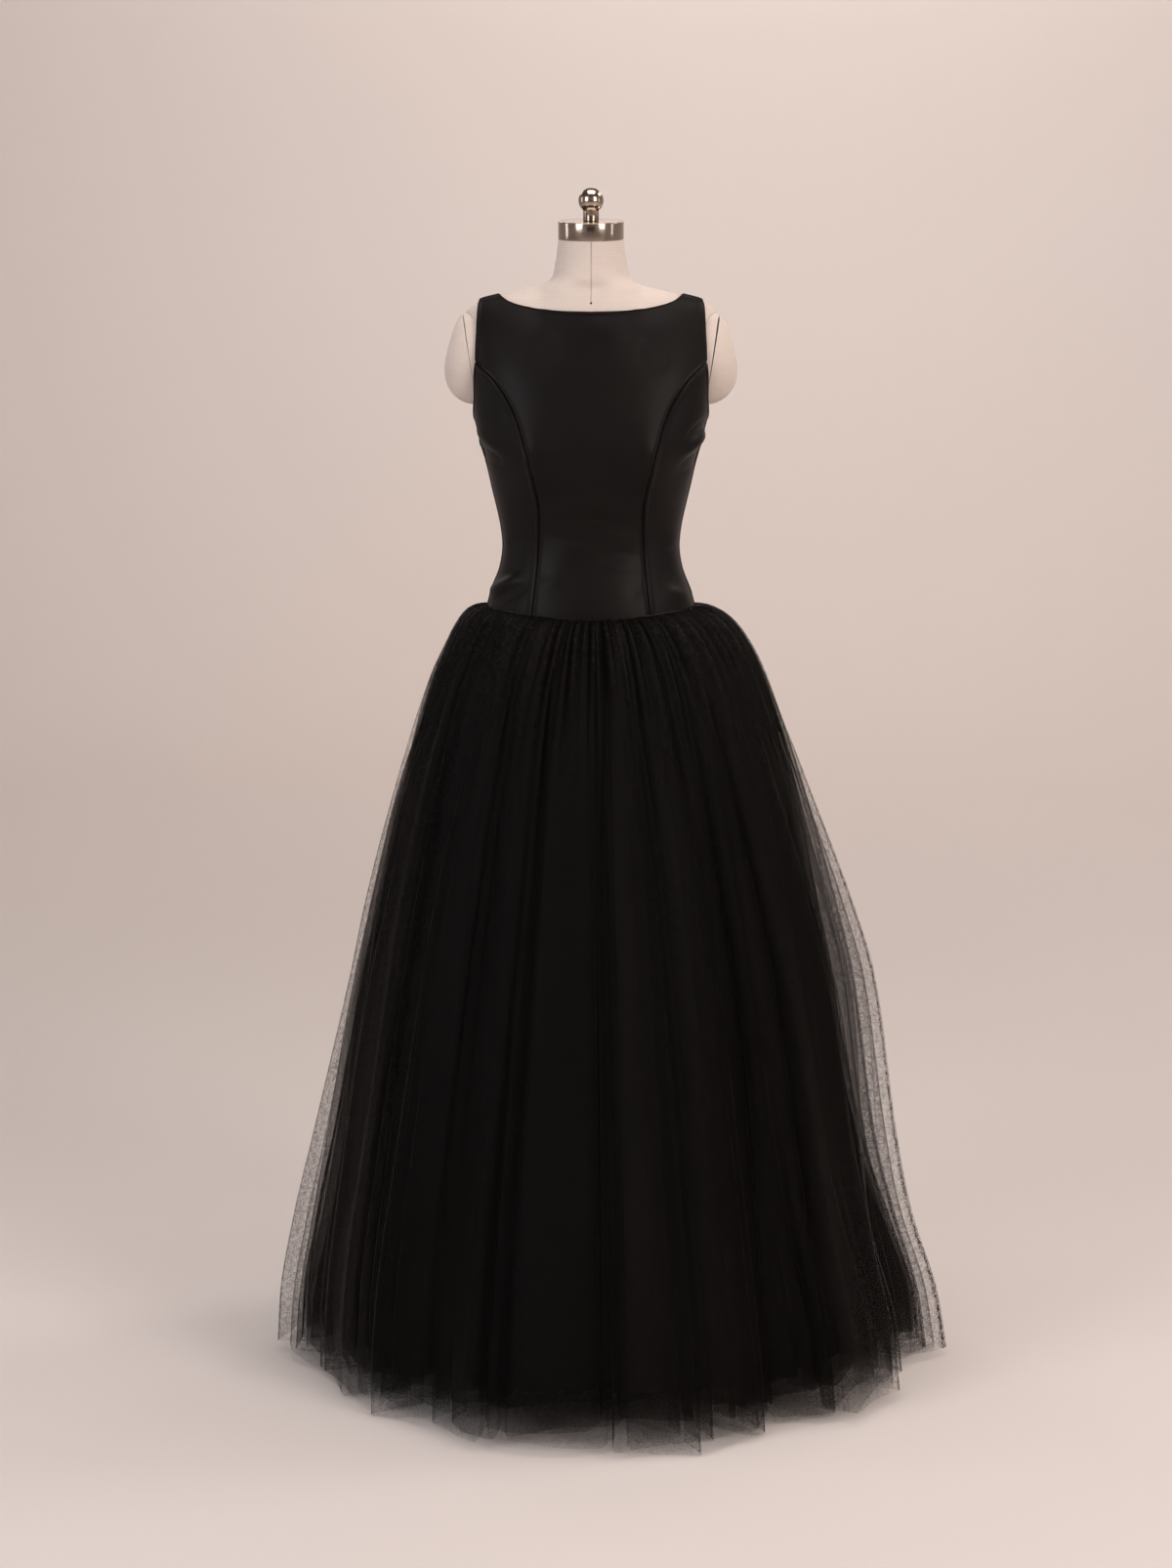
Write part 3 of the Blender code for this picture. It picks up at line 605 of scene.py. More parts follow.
@dataclass(frozen=True)
class NylonTulle:
    """Soft nylon bobbinet tulle: a hexagonal net that is clear face on and dark edge on."""

    name: str
    cover: float
    edge_cover: float
    speckle: float = 0.0
    colour: str = "#0B0806"
    mesh_mm: float = 3.2
    speckle_mm: float = 6.5
    edge_power: float = 5.0

    def material(self) -> bpy.types.Material:
        """Make it: a black net whose holes let the wall through, closing up where it turns away.

        Returns:
            The material.
        """
        made, tree, shader = blank_material(self.name)
        shader.inputs["Base Color"].default_value = linear(self.colour)
        shader.inputs["Roughness"].default_value = 0.60
        shader.inputs["Specular IOR Level"].default_value = 0.10
        facing = add_node(tree, "ShaderNodeLayerWeight", None, {"Blend": 0.5}).outputs["Facing"]
        edge_on = add_node(tree, "ShaderNodeMath", {"operation": "POWER"}, {0: facing, 1: self.edge_power})
        crowded = add_node(tree, "ShaderNodeAttribute", {"attribute_name": "crowd"}).outputs["Fac"]
        turned = add_node(tree, "ShaderNodeMath", {"operation": "MAXIMUM"},
                          {0: edge_on.outputs[0], 1: crowded})
        alpha = add_node(tree, "ShaderNodeMapRange", None,
                         {"Value": turned.outputs[0], "To Min": self.cover, "To Max": self.edge_cover})
        alpha = alpha.outputs["Result"]
        if self.speckle > 0:
            flat = add_node(tree, "ShaderNodeTexCoord").outputs["UV"]
            # The real net is 1.2 mm a hole; it is drawn at about 3 mm so that its holes show.
            net = add_node(tree, "ShaderNodeTexVoronoi", {"feature": "F1", "voronoi_dimensions": "2D"},
                           {"Vector": flat, "Scale": 1000 / self.mesh_mm, "Randomness": 0.7})
            thread = add_node(tree, "ShaderNodeMapRange", None,
                              {"Value": net.outputs["Distance"], "From Min": 0.15, "From Max": 0.60,
                               "To Min": 0.5, "To Max": 1.6})
            # Two nets over each other show a coarser speckle, about 6 mm a spot.
            place = add_node(tree, "ShaderNodeTexCoord").outputs["Object"]
            crossed = add_node(tree, "ShaderNodeTexNoise", None,
                               {"Vector": place, "Scale": 1000 / self.speckle_mm, "Detail": 1.0})
            speckled = add_node(tree, "ShaderNodeMapRange", None,
                                {"Value": crossed.outputs["Fac"], "From Min": 0.34, "From Max": 0.66,
                                 "To Min": 1 - self.speckle, "To Max": 1 + self.speckle})
            for grain in (thread, speckled):
                alpha = add_node(tree, "ShaderNodeMath", {"operation": "MULTIPLY", "use_clamp": True},
                                 {0: alpha, 1: grain.outputs["Result"]}).outputs[0]
        tree.links.new(alpha, shader.inputs["Alpha"])
        return made


@dataclass(frozen=True)
class AcetateLining:
    """Woven acetate lining: opaque, thin and matt under the net."""

    colour: str = "#050404"

    def material(self) -> bpy.types.Material:
        """Make it: a flat black that hides what is under the tulle.

        Returns:
            The material.
        """
        made, tree, shader = blank_material("acetate_lining_woven_black")
        shader.inputs["Roughness"].default_value = 0.7
        shader.inputs["Specular IOR Level"].default_value = 0.12
        place = add_node(tree, "ShaderNodeTexCoord").outputs["Object"]
        # Patches about 70 mm wide, too weak to see as a pattern
        cloudy = add_node(tree, "ShaderNodeTexNoise", None, {"Vector": place, "Scale": 14.0, "Detail": 3.0})
        tint = add_node(tree, "ShaderNodeMix", {"data_type": "RGBA"},
                        {0: cloudy.outputs["Fac"], 6: linear(self.colour), 7: linear("#0A0808")})
        tree.links.new(tint.outputs[2], shader.inputs["Base Color"])
        return made


@dataclass(frozen=True)
class LinenCanvas:
    """Natural linen stretched over the form: matt, with a plain weave and slubs."""

    colour: str = "#D6C9C0"
    shade: str = "#C6B8AF"
    thread_mm: float = 3.2

    def material(self) -> bpy.types.Material:
        """Make it: warm off-white cloth whose crossing threads break up the light.

        Returns:
            The material.
        """
        made, tree, shader = blank_material("linen_canvas_plain_weave")
        shader.inputs["Roughness"].default_value = 0.92
        shader.inputs["Specular IOR Level"].default_value = 0.2
        shader.inputs["Sheen Weight"].default_value = 0.12
        place = add_node(tree, "ShaderNodeTexCoord").outputs["Object"]
        # Real threads are 0.6 mm apart; they are drawn 3.2 mm apart so that they show.
        waves = []
        for direction in ("X", "Z"):
            # A band pattern of scale 1 repeats every pi / 10.
            wave = add_node(tree, "ShaderNodeTexWave", {"wave_type": "BANDS", "bands_direction": direction},
                            {"Vector": place, "Scale": 1000 / self.thread_mm * pi / 10, "Distortion": 1.2,
                             "Detail": 2.0, "Detail Scale": 1.4})
            waves.append(wave.outputs["Fac"])
        weave = add_node(tree, "ShaderNodeMath", {"operation": "MULTIPLY"},
                         {0: waves[0], 1: waves[1]}).outputs[0]
        # Slubs about 25 mm long and 6 mm thick, coarser than real ones so that they show
        slub = add_node(tree, "ShaderNodeTexNoise", None,
                        {"Vector": add_node(tree, "ShaderNodeMapping", None,
                                            {"Vector": place, "Scale": (0.25, 0.25, 1.0)}).outputs["Vector"],
                         "Scale": 160.0, "Detail": 3.0})
        both = add_node(tree, "ShaderNodeMath", {"operation": "ADD"},
                        {0: weave, 1: slub.outputs["Fac"]}).outputs[0]
        share = add_node(tree, "ShaderNodeMapRange", None, {"Value": both, "From Max": 1.6}).outputs["Result"]
        tint = add_node(tree, "ShaderNodeMix", {"data_type": "RGBA"},
                        {0: share, 6: linear(self.shade), 7: linear(self.colour)})
        seam = add_node(tree, "ShaderNodeAttribute", {"attribute_name": "seam"}).outputs["Fac"]
        lined = add_node(tree, "ShaderNodeMix", {"data_type": "RGBA"},
                         {0: seam, 6: tint.outputs[2], 7: linear("#6B5A52")})
        tree.links.new(lined.outputs[2], shader.inputs["Base Color"])
        bump = add_node(tree, "ShaderNodeBump", None, {"Strength": 0.25, "Distance": 0.0004, "Height": both})
        tree.links.new(bump.outputs["Normal"], shader.inputs["Normal"])
        return made


class Surface(Enum):
    """How a steel piece was finished."""

    POLISHED = "polished"
    BRUSHED = "brushed"
    ENAMELLED = "enamelled"
    BLACKENED = "blackened"


@dataclass(frozen=True)
class MetalFinish:
    """A metal with the surface that its maker gave it."""

    name: str
    surface: Surface
    colour: str
    roughness: float
    grain_mm: float = 0.8

    def material(self) -> bpy.types.Material:
        """Make it: sharp reflections when polished, streaked when brushed, dull when painted.

        Returns:
            The material.
        """
        made, tree, shader = blank_material(self.name)
        painted = self.surface is Surface.ENAMELLED
        shader.inputs["Metallic"].default_value = 0.0 if painted else 1.0
        shader.inputs["Coat Weight"].default_value = 0.3 if painted else 0.0
        shader.inputs["Coat Roughness"].default_value = 0.25
        place = add_node(tree, "ShaderNodeTexCoord").outputs["Object"]
        ring = (1.0, 1.0, 14.0) if self.surface in (Surface.POLISHED, Surface.BRUSHED) else (1.0, 1.0, 1.0)
        spread = add_node(tree, "ShaderNodeMapping", None, {"Vector": place, "Scale": ring}).outputs["Vector"]
        # The finest of its octaves is about as wide as the grain.
        grain = add_node(tree, "ShaderNodeTexNoise", None,
                         {"Vector": spread, "Scale": 60 / self.grain_mm, "Detail": 4.0, "Roughness": 0.6})
        rough = add_node(tree, "ShaderNodeMapRange", None,
                         {"Value": grain.outputs["Fac"], "From Min": 0.3, "From Max": 0.7,
                          "To Min": self.roughness * 0.8, "To Max": self.roughness * 1.3})
        tree.links.new(rough.outputs["Result"], shader.inputs["Roughness"])
        shader.inputs["Base Color"].default_value = linear(self.colour)
        bump = add_node(tree, "ShaderNodeBump", None,
                        {"Strength": 0.04, "Distance": 0.0002, "Height": grain.outputs["Fac"]})
        tree.links.new(bump.outputs["Normal"], shader.inputs["Normal"])
        return made


@dataclass(frozen=True)
class Repeat:
    """Small rounded parts set out along a path: stitches or zip teeth."""

    name: str
    pitch: float
    size: tuple[float, float, float]

    def tree(self) -> bpy.types.GeometryNodeTree:
        """Build the Geometry Nodes tree that sets the parts out.

        Returns:
            A tree with the inputs Path, Pitch, Size and Finish.
        """
        tree = bpy.data.node_groups.new(self.name, "GeometryNodeTree")
        face = tree.interface
        face.new_socket("Path", in_out="INPUT", socket_type="NodeSocketGeometry")
        face.new_socket("Pitch", in_out="INPUT", socket_type="NodeSocketFloat")
        face.new_socket("Size", in_out="INPUT", socket_type="NodeSocketVector")
        face.new_socket("Finish", in_out="INPUT", socket_type="NodeSocketMaterial")
        face.new_socket("Parts", in_out="OUTPUT", socket_type="NodeSocketGeometry")
        given = add_node(tree, "NodeGroupInput").outputs
        line = add_node(tree, "GeometryNodeMeshToCurve", None, {"Mesh": given["Path"]}).outputs["Curve"]
        spaced = add_node(tree, "GeometryNodeResampleCurve", {"mode": "LENGTH"},
                          {"Curve": line, "Length": given["Pitch"]}).outputs["Curve"]
        tangent = add_node(tree, "GeometryNodeInputTangent").outputs["Tangent"]
        outward = add_node(tree, "GeometryNodeInputNamedAttribute", {"data_type": "FLOAT_VECTOR"},
                           {"Name": "outward"}).outputs["Attribute"]
        along_path = add_node(tree, "FunctionNodeAlignRotationToVector", {"axis": "Z"}, {"Vector": tangent})
        turned = add_node(tree, "FunctionNodeAlignRotationToVector", {"axis": "X", "pivot_axis": "Z"},
                          {"Rotation": along_path.outputs["Rotation"], "Vector": outward})
        ball = add_node(tree, "GeometryNodeMeshUVSphere", None, {"Segments": 6, "Rings": 4, "Radius": 0.5})
        shaped = add_node(tree, "GeometryNodeTransform", None,
                          {"Geometry": ball.outputs["Mesh"], "Scale": given["Size"]}).outputs["Geometry"]
        placed = add_node(tree, "GeometryNodeInstanceOnPoints", None,
                          {"Points": spaced, "Instance": shaped,
                           "Rotation": turned.outputs["Rotation"]}).outputs["Instances"]
        real = add_node(tree, "GeometryNodeRealizeInstances", None, {"Geometry": placed}).outputs["Geometry"]
        smooth = add_node(tree, "GeometryNodeSetShadeSmooth", None, {"Geometry": real}).outputs["Geometry"]
        coated = add_node(tree, "GeometryNodeSetMaterial", None,
                          {"Geometry": smooth, "Material": given["Finish"]}).outputs["Geometry"]
        add_node(tree, "NodeGroupOutput", None, {"Parts": coated})
        return tree

    def build(self, paths: list[np.ndarray], outward: list[np.ndarray], finish: bpy.types.Material,
              slot: str) -> None:
        """Set the parts out along paths as one plain mesh.

        Args:
            paths: Each path's points.
            outward: Each point's outward direction.
            finish: The parts' material.
            slot: Not used.
        """
        points, edges, ways = [], [], []
        for path, way in zip(paths, outward):
            start = len(points)
            points += path.tolist()
            ways += way.tolist()
            edges += [(start + i, start + i + 1) for i in range(len(path) - 1)]
        mesh = bpy.data.meshes.new(self.name)
        mesh.from_pydata(points, edges, [])
        kept = mesh.attributes.new("outward", "FLOAT_VECTOR", "POINT")
        kept.data.foreach_set("vector", np.array(ways, np.float32).ravel())
        made = bpy.data.objects.new(self.name, mesh)
        bpy.context.scene.collection.objects.link(made)
        values = {"Pitch": self.pitch, "Size": self.size, "Finish": finish}
        apply_tree(made, self.tree(), values)
        dress(made, finish)


def apply_tree(piece: bpy.types.Object, tree: bpy.types.GeometryNodeTree, values: dict[str, Any]) -> None:
    """Run a Geometry Nodes tree on a piece and keep the result as its plain mesh.

    Args:
        piece: The piece whose mesh goes in.
        tree: The tree.
        values: The tree's inputs, by their names.
    """
    worker = piece.modifiers.new(tree.name, "NODES")
    worker.node_group = tree
    sockets = {item.name: item.identifier for item in tree.interface.items_tree
               if item.item_type == "SOCKET" and item.in_out == "INPUT"}
    for name, value in values.items():
        worker[sockets[name]] = value
    piece.data.update()
    graph = bpy.context.evaluated_depsgraph_get()
    made = bpy.data.meshes.new_from_object(piece.evaluated_get(graph), preserve_all_data_layers=True,
                                           depsgraph=graph)
    piece.modifiers.remove(worker)
    piece.data = made


@dataclass(frozen=True)
class Crease:
    """One soft trough or ridge in the satin: from one place to another as (x, height), and its depth."""

    start: tuple[float, float]
    end: tuple[float, float]
    width: float
    rise: float
    blunt_end: float = 0.03
    taper_power: float = 0.7

    def lift(self, points: np.ndarray) -> np.ndarray:
        """Give how far the crease lifts each point off the panel.

        Args:
            points: Points in its last axis.

        Returns:
            One distance a point, below 0 in a trough.
        """
        place = np.stack([points[..., 0], points[..., 2]], axis=-1)
        start, end = np.array(self.start), np.array(self.end)
        line = end - start
        t = np.clip(((place - start) @ line) / (line @ line), 0.0, 1.0)
        away = np.linalg.norm(place - start - t[..., None] * line, axis=-1)
        taper = np.sin(pi * np.clip(t, self.blunt_end, 1 - self.blunt_end)) ** self.taper_power
        return self.rise * taper * np.exp(-((away / self.width) ** 2))


@dataclass(frozen=True)
class FlatCut:
    """A piece of cloth as it was cut: its width, its length and its flat area."""

    width: float
    length: float
    area: float


@dataclass(frozen=True)
class Bodice:
    """The fitted satin bodice: seven panels, sewn with princess seams and closed at the centre back."""

    columns: int = 46
    low_rows: int = 46
    top_rows: int = 26
    side_columns: int = 34
    side_rows: int = 60
    groove: float = 0.0011
    groove_width: float = 0.0009
    allowance_rise: float = 0.0019
    allowance_from_seam: float = 0.0034
    allowance_width: float = 0.0015
    crease_depth: float = 2.9
    crease_from_seam: float = 0.006
    edge_shares: tuple[float, ...] = (0.0028, 0.006, 0.010, 0.016, 0.026)
    top_edge_shares: tuple[float, ...] = (0.972, 0.985, 0.994)
    armhole_shares: tuple[float, ...] = (0.988, 0.995)
    neck_corner_share: float = 0.8
    top_row_power: float = 1.25
    armhole_bend_power: int = 4
    front_centre_cut: FlatCut = FlatCut(0.380, 0.506, 0.098)
    side_front_cut: FlatCut = FlatCut(0.140, 0.403, 0.0373)
    side_back_cut: FlatCut = FlatCut(0.126, 0.393, 0.0356)
    centre_back_cut: FlatCut = FlatCut(0.201, 0.503, 0.0473)
    front_creases: tuple[Crease, ...] = (
        Crease((-0.070, 1.188), (0.020, 1.176), 0.0050, -0.0009),
        Crease((-0.052, 1.172), (0.068, 1.182), 0.0045, 0.0007),
        Crease((-0.066, 1.158), (0.010, 1.163), 0.0050, 0.0008),
        Crease((0.004, 1.160), (0.070, 1.154), 0.0055, -0.0010),
        Crease((-0.060, 1.207), (0.052, 1.199), 0.0065, -0.0008),
        Crease((-0.030, 1.226), (0.066, 1.220), 0.0075, 0.0007),
        Crease((-0.072, 1.236), (-0.012, 1.244), 0.0080, -0.0007),
        Crease((0.020, 1.139), (0.076, 1.146), 0.0050, 0.0007),
        Crease((-0.074, 1.143), (-0.022, 1.138), 0.0060, 0.0006),
        Crease((-0.076, 1.112), (-0.040, 1.124), 0.0090, 0.0008),
        Crease((0.050, 1.100), (0.078, 1.122), 0.0080, -0.0007),
        Crease((-0.148, 1.096), (-0.096, 1.128), 0.0075, 0.0022),
        Crease((-0.142, 1.088), (-0.088, 1.116), 0.0060, -0.0016),
        Crease((0.160, 1.326), (0.128, 1.296), 0.0070, 0.0024),
        Crease((0.162, 1.342), (0.134, 1.318), 0.0050, -0.0020),
        Crease((0.156, 1.300), (0.120, 1.270), 0.0080, -0.0012),
        Crease((-0.162, 1.330), (-0.128, 1.304), 0.0075, 0.0013),
        Crease((-0.156, 1.302), (-0.122, 1.282), 0.0080, -0.0012),
        Crease((0.100, 1.108), (0.138, 1.096), 0.0070, 0.0012),
        Crease((-0.118, 1.170), (-0.092, 1.182), 0.0060, -0.0009),
        Crease((0.122, 1.176), (0.088, 1.164), 0.0060, 0.0009),
        Crease((-0.090, 1.420), (-0.040, 1.452), 0.0180, -0.0010),
        Crease((0.060, 1.446), (0.112, 1.420), 0.0200, -0.0010),
        Crease((-0.020, 1.470), (0.060, 1.462), 0.0150, 0.0006),
    )
    back_creases: tuple[Crease, ...] = (
        Crease((-0.060, 1.180), (-0.004, 1.170), 0.0055, -0.0012),
        Crease((0.006, 1.172), (0.062, 1.184), 0.0050, -0.0011),
        Crease((-0.064, 1.158), (-0.006, 1.163), 0.0050, 0.0010),
        Crease((0.008, 1.154), (0.060, 1.148), 0.0060, 0.0010),
        Crease((-0.062, 1.206), (-0.010, 1.200), 0.0070, 0.0008),
        Crease((0.012, 1.214), (0.068, 1.204), 0.0065, -0.0010),
        Crease((-0.068, 1.132), (-0.012, 1.126), 0.0060, -0.0008),
        Crease((0.010, 1.122), (0.072, 1.130), 0.0065, 0.0008),
        Crease((0.160, 1.322), (0.126, 1.296), 0.0070, 0.0018),
        Crease((-0.160, 1.318), (-0.128, 1.288), 0.0075, 0.0018),
        Crease((-0.148, 1.100), (-0.098, 1.126), 0.0080, 0.0014),
        Crease((0.146, 1.096), (0.100, 1.118), 0.0075, 0.0014),
        Crease((-0.100, 1.440), (-0.040, 1.462), 0.0180, -0.0009),
        Crease((0.048, 1.456), (0.104, 1.436), 0.0180, -0.0010),
    )

    def shares(self, count: int, both: bool) -> np.ndarray:
        """Give even shares from 0 to 1, closer together at the sewn edges.

        Args:
            count: How many even shares there are.
            both: Whether the low end is an edge too.

        Returns:
            The shares, rising.
        """
        made = list(np.linspace(0, 1, count)) + [1 - share for share in self.edge_shares]
        if both:
            made += self.edge_shares
        return np.unique(np.round(made, 6))

    def fall(self, x: np.ndarray, height: np.ndarray) -> np.ndarray:
        """Give 1 where the shoulder starts to curve over, falling evenly to 0 on its ridge."""
        _, up, power = WORN.room(x, height)
        return np.maximum(up, 0.0) ** (1 / power)

    def height_of_fall(self, x: np.ndarray, fall: np.ndarray) -> np.ndarray:
        """Give the height at which the shoulder's curve has a given fall.

        Args:
            x: Distances from the centre line.
            fall: The falls, from 1 down to 0.

        Returns:
            The heights.
        """
        low, high = narrowed(np.full(x.shape, SHOULDER_START), along(SHOULDER_ROWS, 1, x),
                             lambda height: self.fall(x, height) > fall)
        return (low + high) / 2

    def centre_half(self, seam: Rows, neckline: Rows, back: bool) -> np.ndarray:
        """Lay out the right half of a centre panel.

        Args:
            seam: Its princess seam.
            neckline: Its neck edge.
            back: Whether it is a back panel, which ends at the zip.

        Returns:
            Points on the worn body, columns by rows by 3.
        """
        shares = np.unique(np.append(self.shares(self.columns, back), self.neck_corner_share))
        top_x = np.interp(shares, np.linspace(0, 1, len(TOP_COLUMNS)), TOP_COLUMNS)
        start = SEAM_GAP / 2 if back else 0.0
        rows = np.linspace(0, 1, self.low_rows)
        steps = 1 - (1 - np.linspace(0, 1, self.top_rows)[1:]) ** self.top_row_power
        steps = np.unique(np.append(steps, self.top_edge_shares))
        bottom = waist_seam_at(shares * seam[0][1], back)[:, None]
        low_height = bottom + (SEAM_MEETS_ARMHOLE - bottom) * rows
        low_x = np.maximum(shares[:, None] * (along(seam, 1, low_height) - SEAM_GAP / 2), start)
        edge_x = shares * (ARMHOLE_X - SEAM_GAP / 2)
        on_neck = top_x < NECK_POINT_X - NEARLY_NOTHING
        top_fall = np.where(on_neck, self.fall(top_x, along(neckline, 1, top_x)), 0.0)
        low_fall = self.fall(edge_x, np.full(edge_x.shape, SEAM_MEETS_ARMHOLE))
        high_x = np.maximum(edge_x[:, None] + (top_x - edge_x)[:, None] * steps, start)
        fall = low_fall[:, None] + (top_fall - low_fall)[:, None] * steps
        high_height = self.height_of_fall(high_x, fall)
        x = np.concatenate([low_x, high_x], axis=1)
        height = np.concatenate([low_height, high_height], axis=1)
        y = WORN.half_depth(x, height, back)
        y[:, -1] = np.where(on_neck, y[:, -1], 0.0)
        return np.stack([x, y * (1 if back else -1), height], axis=-1)

    def side_panel(self, seam: Rows, back: bool) -> np.ndarray:
        """Lay out the right side panel, from the princess seam to the side seam.

        Args:
            seam: Its princess seam.
            back: Whether it is a back panel.

        Returns:
            Points on the worn body, columns by rows by 3.
        """
        shares = self.shares(self.side_columns, True)
        rows = np.unique(np.append(np.linspace(0, 1, self.side_rows), self.armhole_shares))
        armhole_depth = WORN.half_depth(ARMHOLE_X, SEAM_MEETS_ARMHOLE, back)
        armhole_turn = pi / 2 - atan2(ARMHOLE_X, float(armhole_depth))
        bottom_edge = atan2(seam[0][1], float(WORN.half_depth(seam[0][1], WAIST_SEAM_SIDE, back)))
        swing = (1 - shares) * pi / 2
        top = UNDERARM + (SEAM_MEETS_ARMHOLE - UNDERARM) * (1 - np.cos(swing))
        top_angle = pi / 2 - armhole_turn * np.sin(swing)
        start = waist_seam(bottom_edge + (pi / 2 - bottom_edge) * shares)
        bottom = np.where(shares > 0, start, waist_seam_at(np.array([seam[0][1]]), back))

        def swept(height: np.ndarray, share: np.ndarray) -> np.ndarray:
            """Give the turn at a share of the way from the princess seam to the side.

            Args:
                height: Heights above the floor.
                share: 0 at the princess seam, 1 at the side seam.

            Returns:
                The turns.
            """
            edge_x = along(seam, 1, height) + SEAM_GAP / 2
            edge = np.arctan2(edge_x, WORN.half_depth(edge_x, height, back))
            return edge + (pi / 2 - edge) * share

        shortfall = np.where((shares > 0) & (shares < 1), top_angle - swept(top, shares), 0.0)
        height = bottom[:, None] + (top - bottom)[:, None] * rows
        angle = swept(height, shares[:, None]) + shortfall[:, None] * rows**self.armhole_bend_power
        reach = WORN.reach(pi - angle if back else angle, height)
        y = reach * np.cos(angle) * (1 if back else -1)
        return np.stack([reach * np.sin(angle), y, height], axis=-1)

    def edge_distance(self, points: np.ndarray) -> np.ndarray:
        """Give each point's distance along the cloth to the panel's nearest side or top edge."""
        across, up = cloth_measures(points)
        return np.minimum(np.minimum(up[:, -1:] - up, across), across[-1:] - across)

    def panel(self, name: str, points: np.ndarray, back: bool, cut: FlatCut,
              finish: bpy.types.Material) -> None:
        """Sew one panel: grooves at its seams, its creases, its thickness, and its material and body.

        Args:
            name: The panel's and its node's name.
            points: Its points on the worn body.
            back: Whether it is a back panel.
            cut: Its size before sewing; not used.
            finish: Its satin.
        """
        outward = WORN.outward(points)
        away = self.edge_distance(points)
        from_allowance = (away - self.allowance_from_seam) / self.allowance_width
        lift = self.allowance_rise * np.exp(-(from_allowance**2))
        lift -= self.groove * np.exp(-((away / self.groove_width) ** 2))
        free = 1 - np.exp(-((away / self.crease_from_seam) ** 2))
        for crease in self.back_creases if back else self.front_creases:
            lift += crease.lift(points) * free * self.crease_depth
        apart = np.array([0.0, SEAM_GAP / 2 * (1 if back else -1), 0.0])
        skin = points + apart
        piece = shell(name, skin + outward * lift[..., None], skin - outward * SATIN_WALL, outward)
        across, up = cloth_measures(points)
        set_uv(piece, np.tile(across, (2, 1)), np.tile(up, (2, 1)))
        piece.name = name + "_satin"
        dress(piece, finish, replaces=(name,))
        LOG.info("%s measures %.3f x %.3f", name, float(across[-1].max()), float(up[:, -1].max()))

    def build(self, finish: bpy.types.Material) -> None:
        """Make the seven panels.

        Args:
            finish: Their satin.
        """
        half = self.centre_half(FRONT_PRINCESS, FRONT_NECKLINE, False)
        whole = np.concatenate([(half * MIRROR_X)[::-1][:-1], half])
        self.panel("bodice_front_centre", whole, False, self.front_centre_cut, finish)
        side_front = self.side_panel(FRONT_PRINCESS, False)
        side_back = self.side_panel(BACK_PRINCESS, True)
        centre_back = self.centre_half(BACK_PRINCESS, BACK_NECKLINE, True)
        pairs = (
            ("bodice_side_front", side_front, False, self.side_front_cut),
            ("bodice_side_back", side_back, True, self.side_back_cut),
            ("bodice_back", centre_back, True, self.centre_back_cut),
        )
        for name, points, back, cut in pairs:
            self.panel(name + "_right", points, back, cut, finish)
            self.panel(name + "_left", (points * MIRROR_X)[::-1], back, cut, finish)


@dataclass(frozen=True)
class Fold:
    """One main fold's edge: where it is, how far it stands out at the hem, and its lap.

    A lap above 0 lays the panel before the edge over the one after it.
    """

    angle: float
    push: float
    lap: float


MAIN_FOLDS = (
    Fold(-90.0, 0.016, 0.6), Fold(-75.0, -0.030, -0.6), Fold(-58.0, -0.040, 0.9), Fold(-44.0, -0.030, -0.9),
    Fold(-33.0, -0.048, 0.7), Fold(-19.0, 0.032, 0.9), Fold(4.0, 0.022, -0.9), Fold(16.5, 0.026, 0.8),
    Fold(28.0, -0.014, 0.8), Fold(37.0, -0.066, -0.6), Fold(46.0, 0.010, -0.9), Fold(62.0, -0.022, 0.9),
    Fold(80.0, -0.062, -0.6), Fold(89.0, 0.012, 0.8), Fold(110.0, -0.030, 0.6), Fold(129.0, 0.020, -0.8),
    Fold(141.0, -0.034, 0.7), Fold(158.0, 0.018, 0.8), Fold(177.0, -0.006, -0.7), Fold(190.0, 0.024, -0.8),
    Fold(207.0, -0.036, 0.6), Fold(222.0, 0.006, -0.9), Fold(238.0, -0.026, 0.8), Fold(253.0, 0.008, 0.7),
)

# Fall from waist to hem, height, how far a layer stands out from the waist seam at
# the left, right, front and back, and the depth of its folds
OUTER_ROWS: Rows = (
    (0.000, 1.0816, 0.0010, 0.0010, 0.0010, 0.0010, 0.0006),
    (0.016, 1.0775, 0.0200, 0.0225, 0.0180, 0.0180, 0.0048),
    (0.034, 1.0620, 0.0345, 0.0485, 0.0380, 0.0380, 0.0066),
    (0.070, 1.0253, 0.0540, 0.0770, 0.0650, 0.0650, 0.0078),
    (0.120, 0.9701, 0.0800, 0.1045, 0.0950, 0.0950, 0.0086),
    (0.240, 0.8314, 0.1265, 0.1580, 0.1520, 0.1510, 0.0090),
    (0.390, 0.6636, 0.1680, 0.2200, 0.2100, 0.2080, 0.0105),
    (0.490, 0.5509, 0.1890, 0.2530, 0.2420, 0.2400, 0.0115),
    (0.690, 0.3236, 0.2350, 0.2840, 0.3030, 0.2980, 0.0135),
    (0.800, 0.2090, 0.2610, 0.3040, 0.3300, 0.3240, 0.0145),
    (0.920, 0.0937, 0.2790, 0.3380, 0.3480, 0.3400, 0.0155),
    (1.000, 0.0020, 0.2830, 0.3540, 0.3560, 0.3480, 0.0160),
)
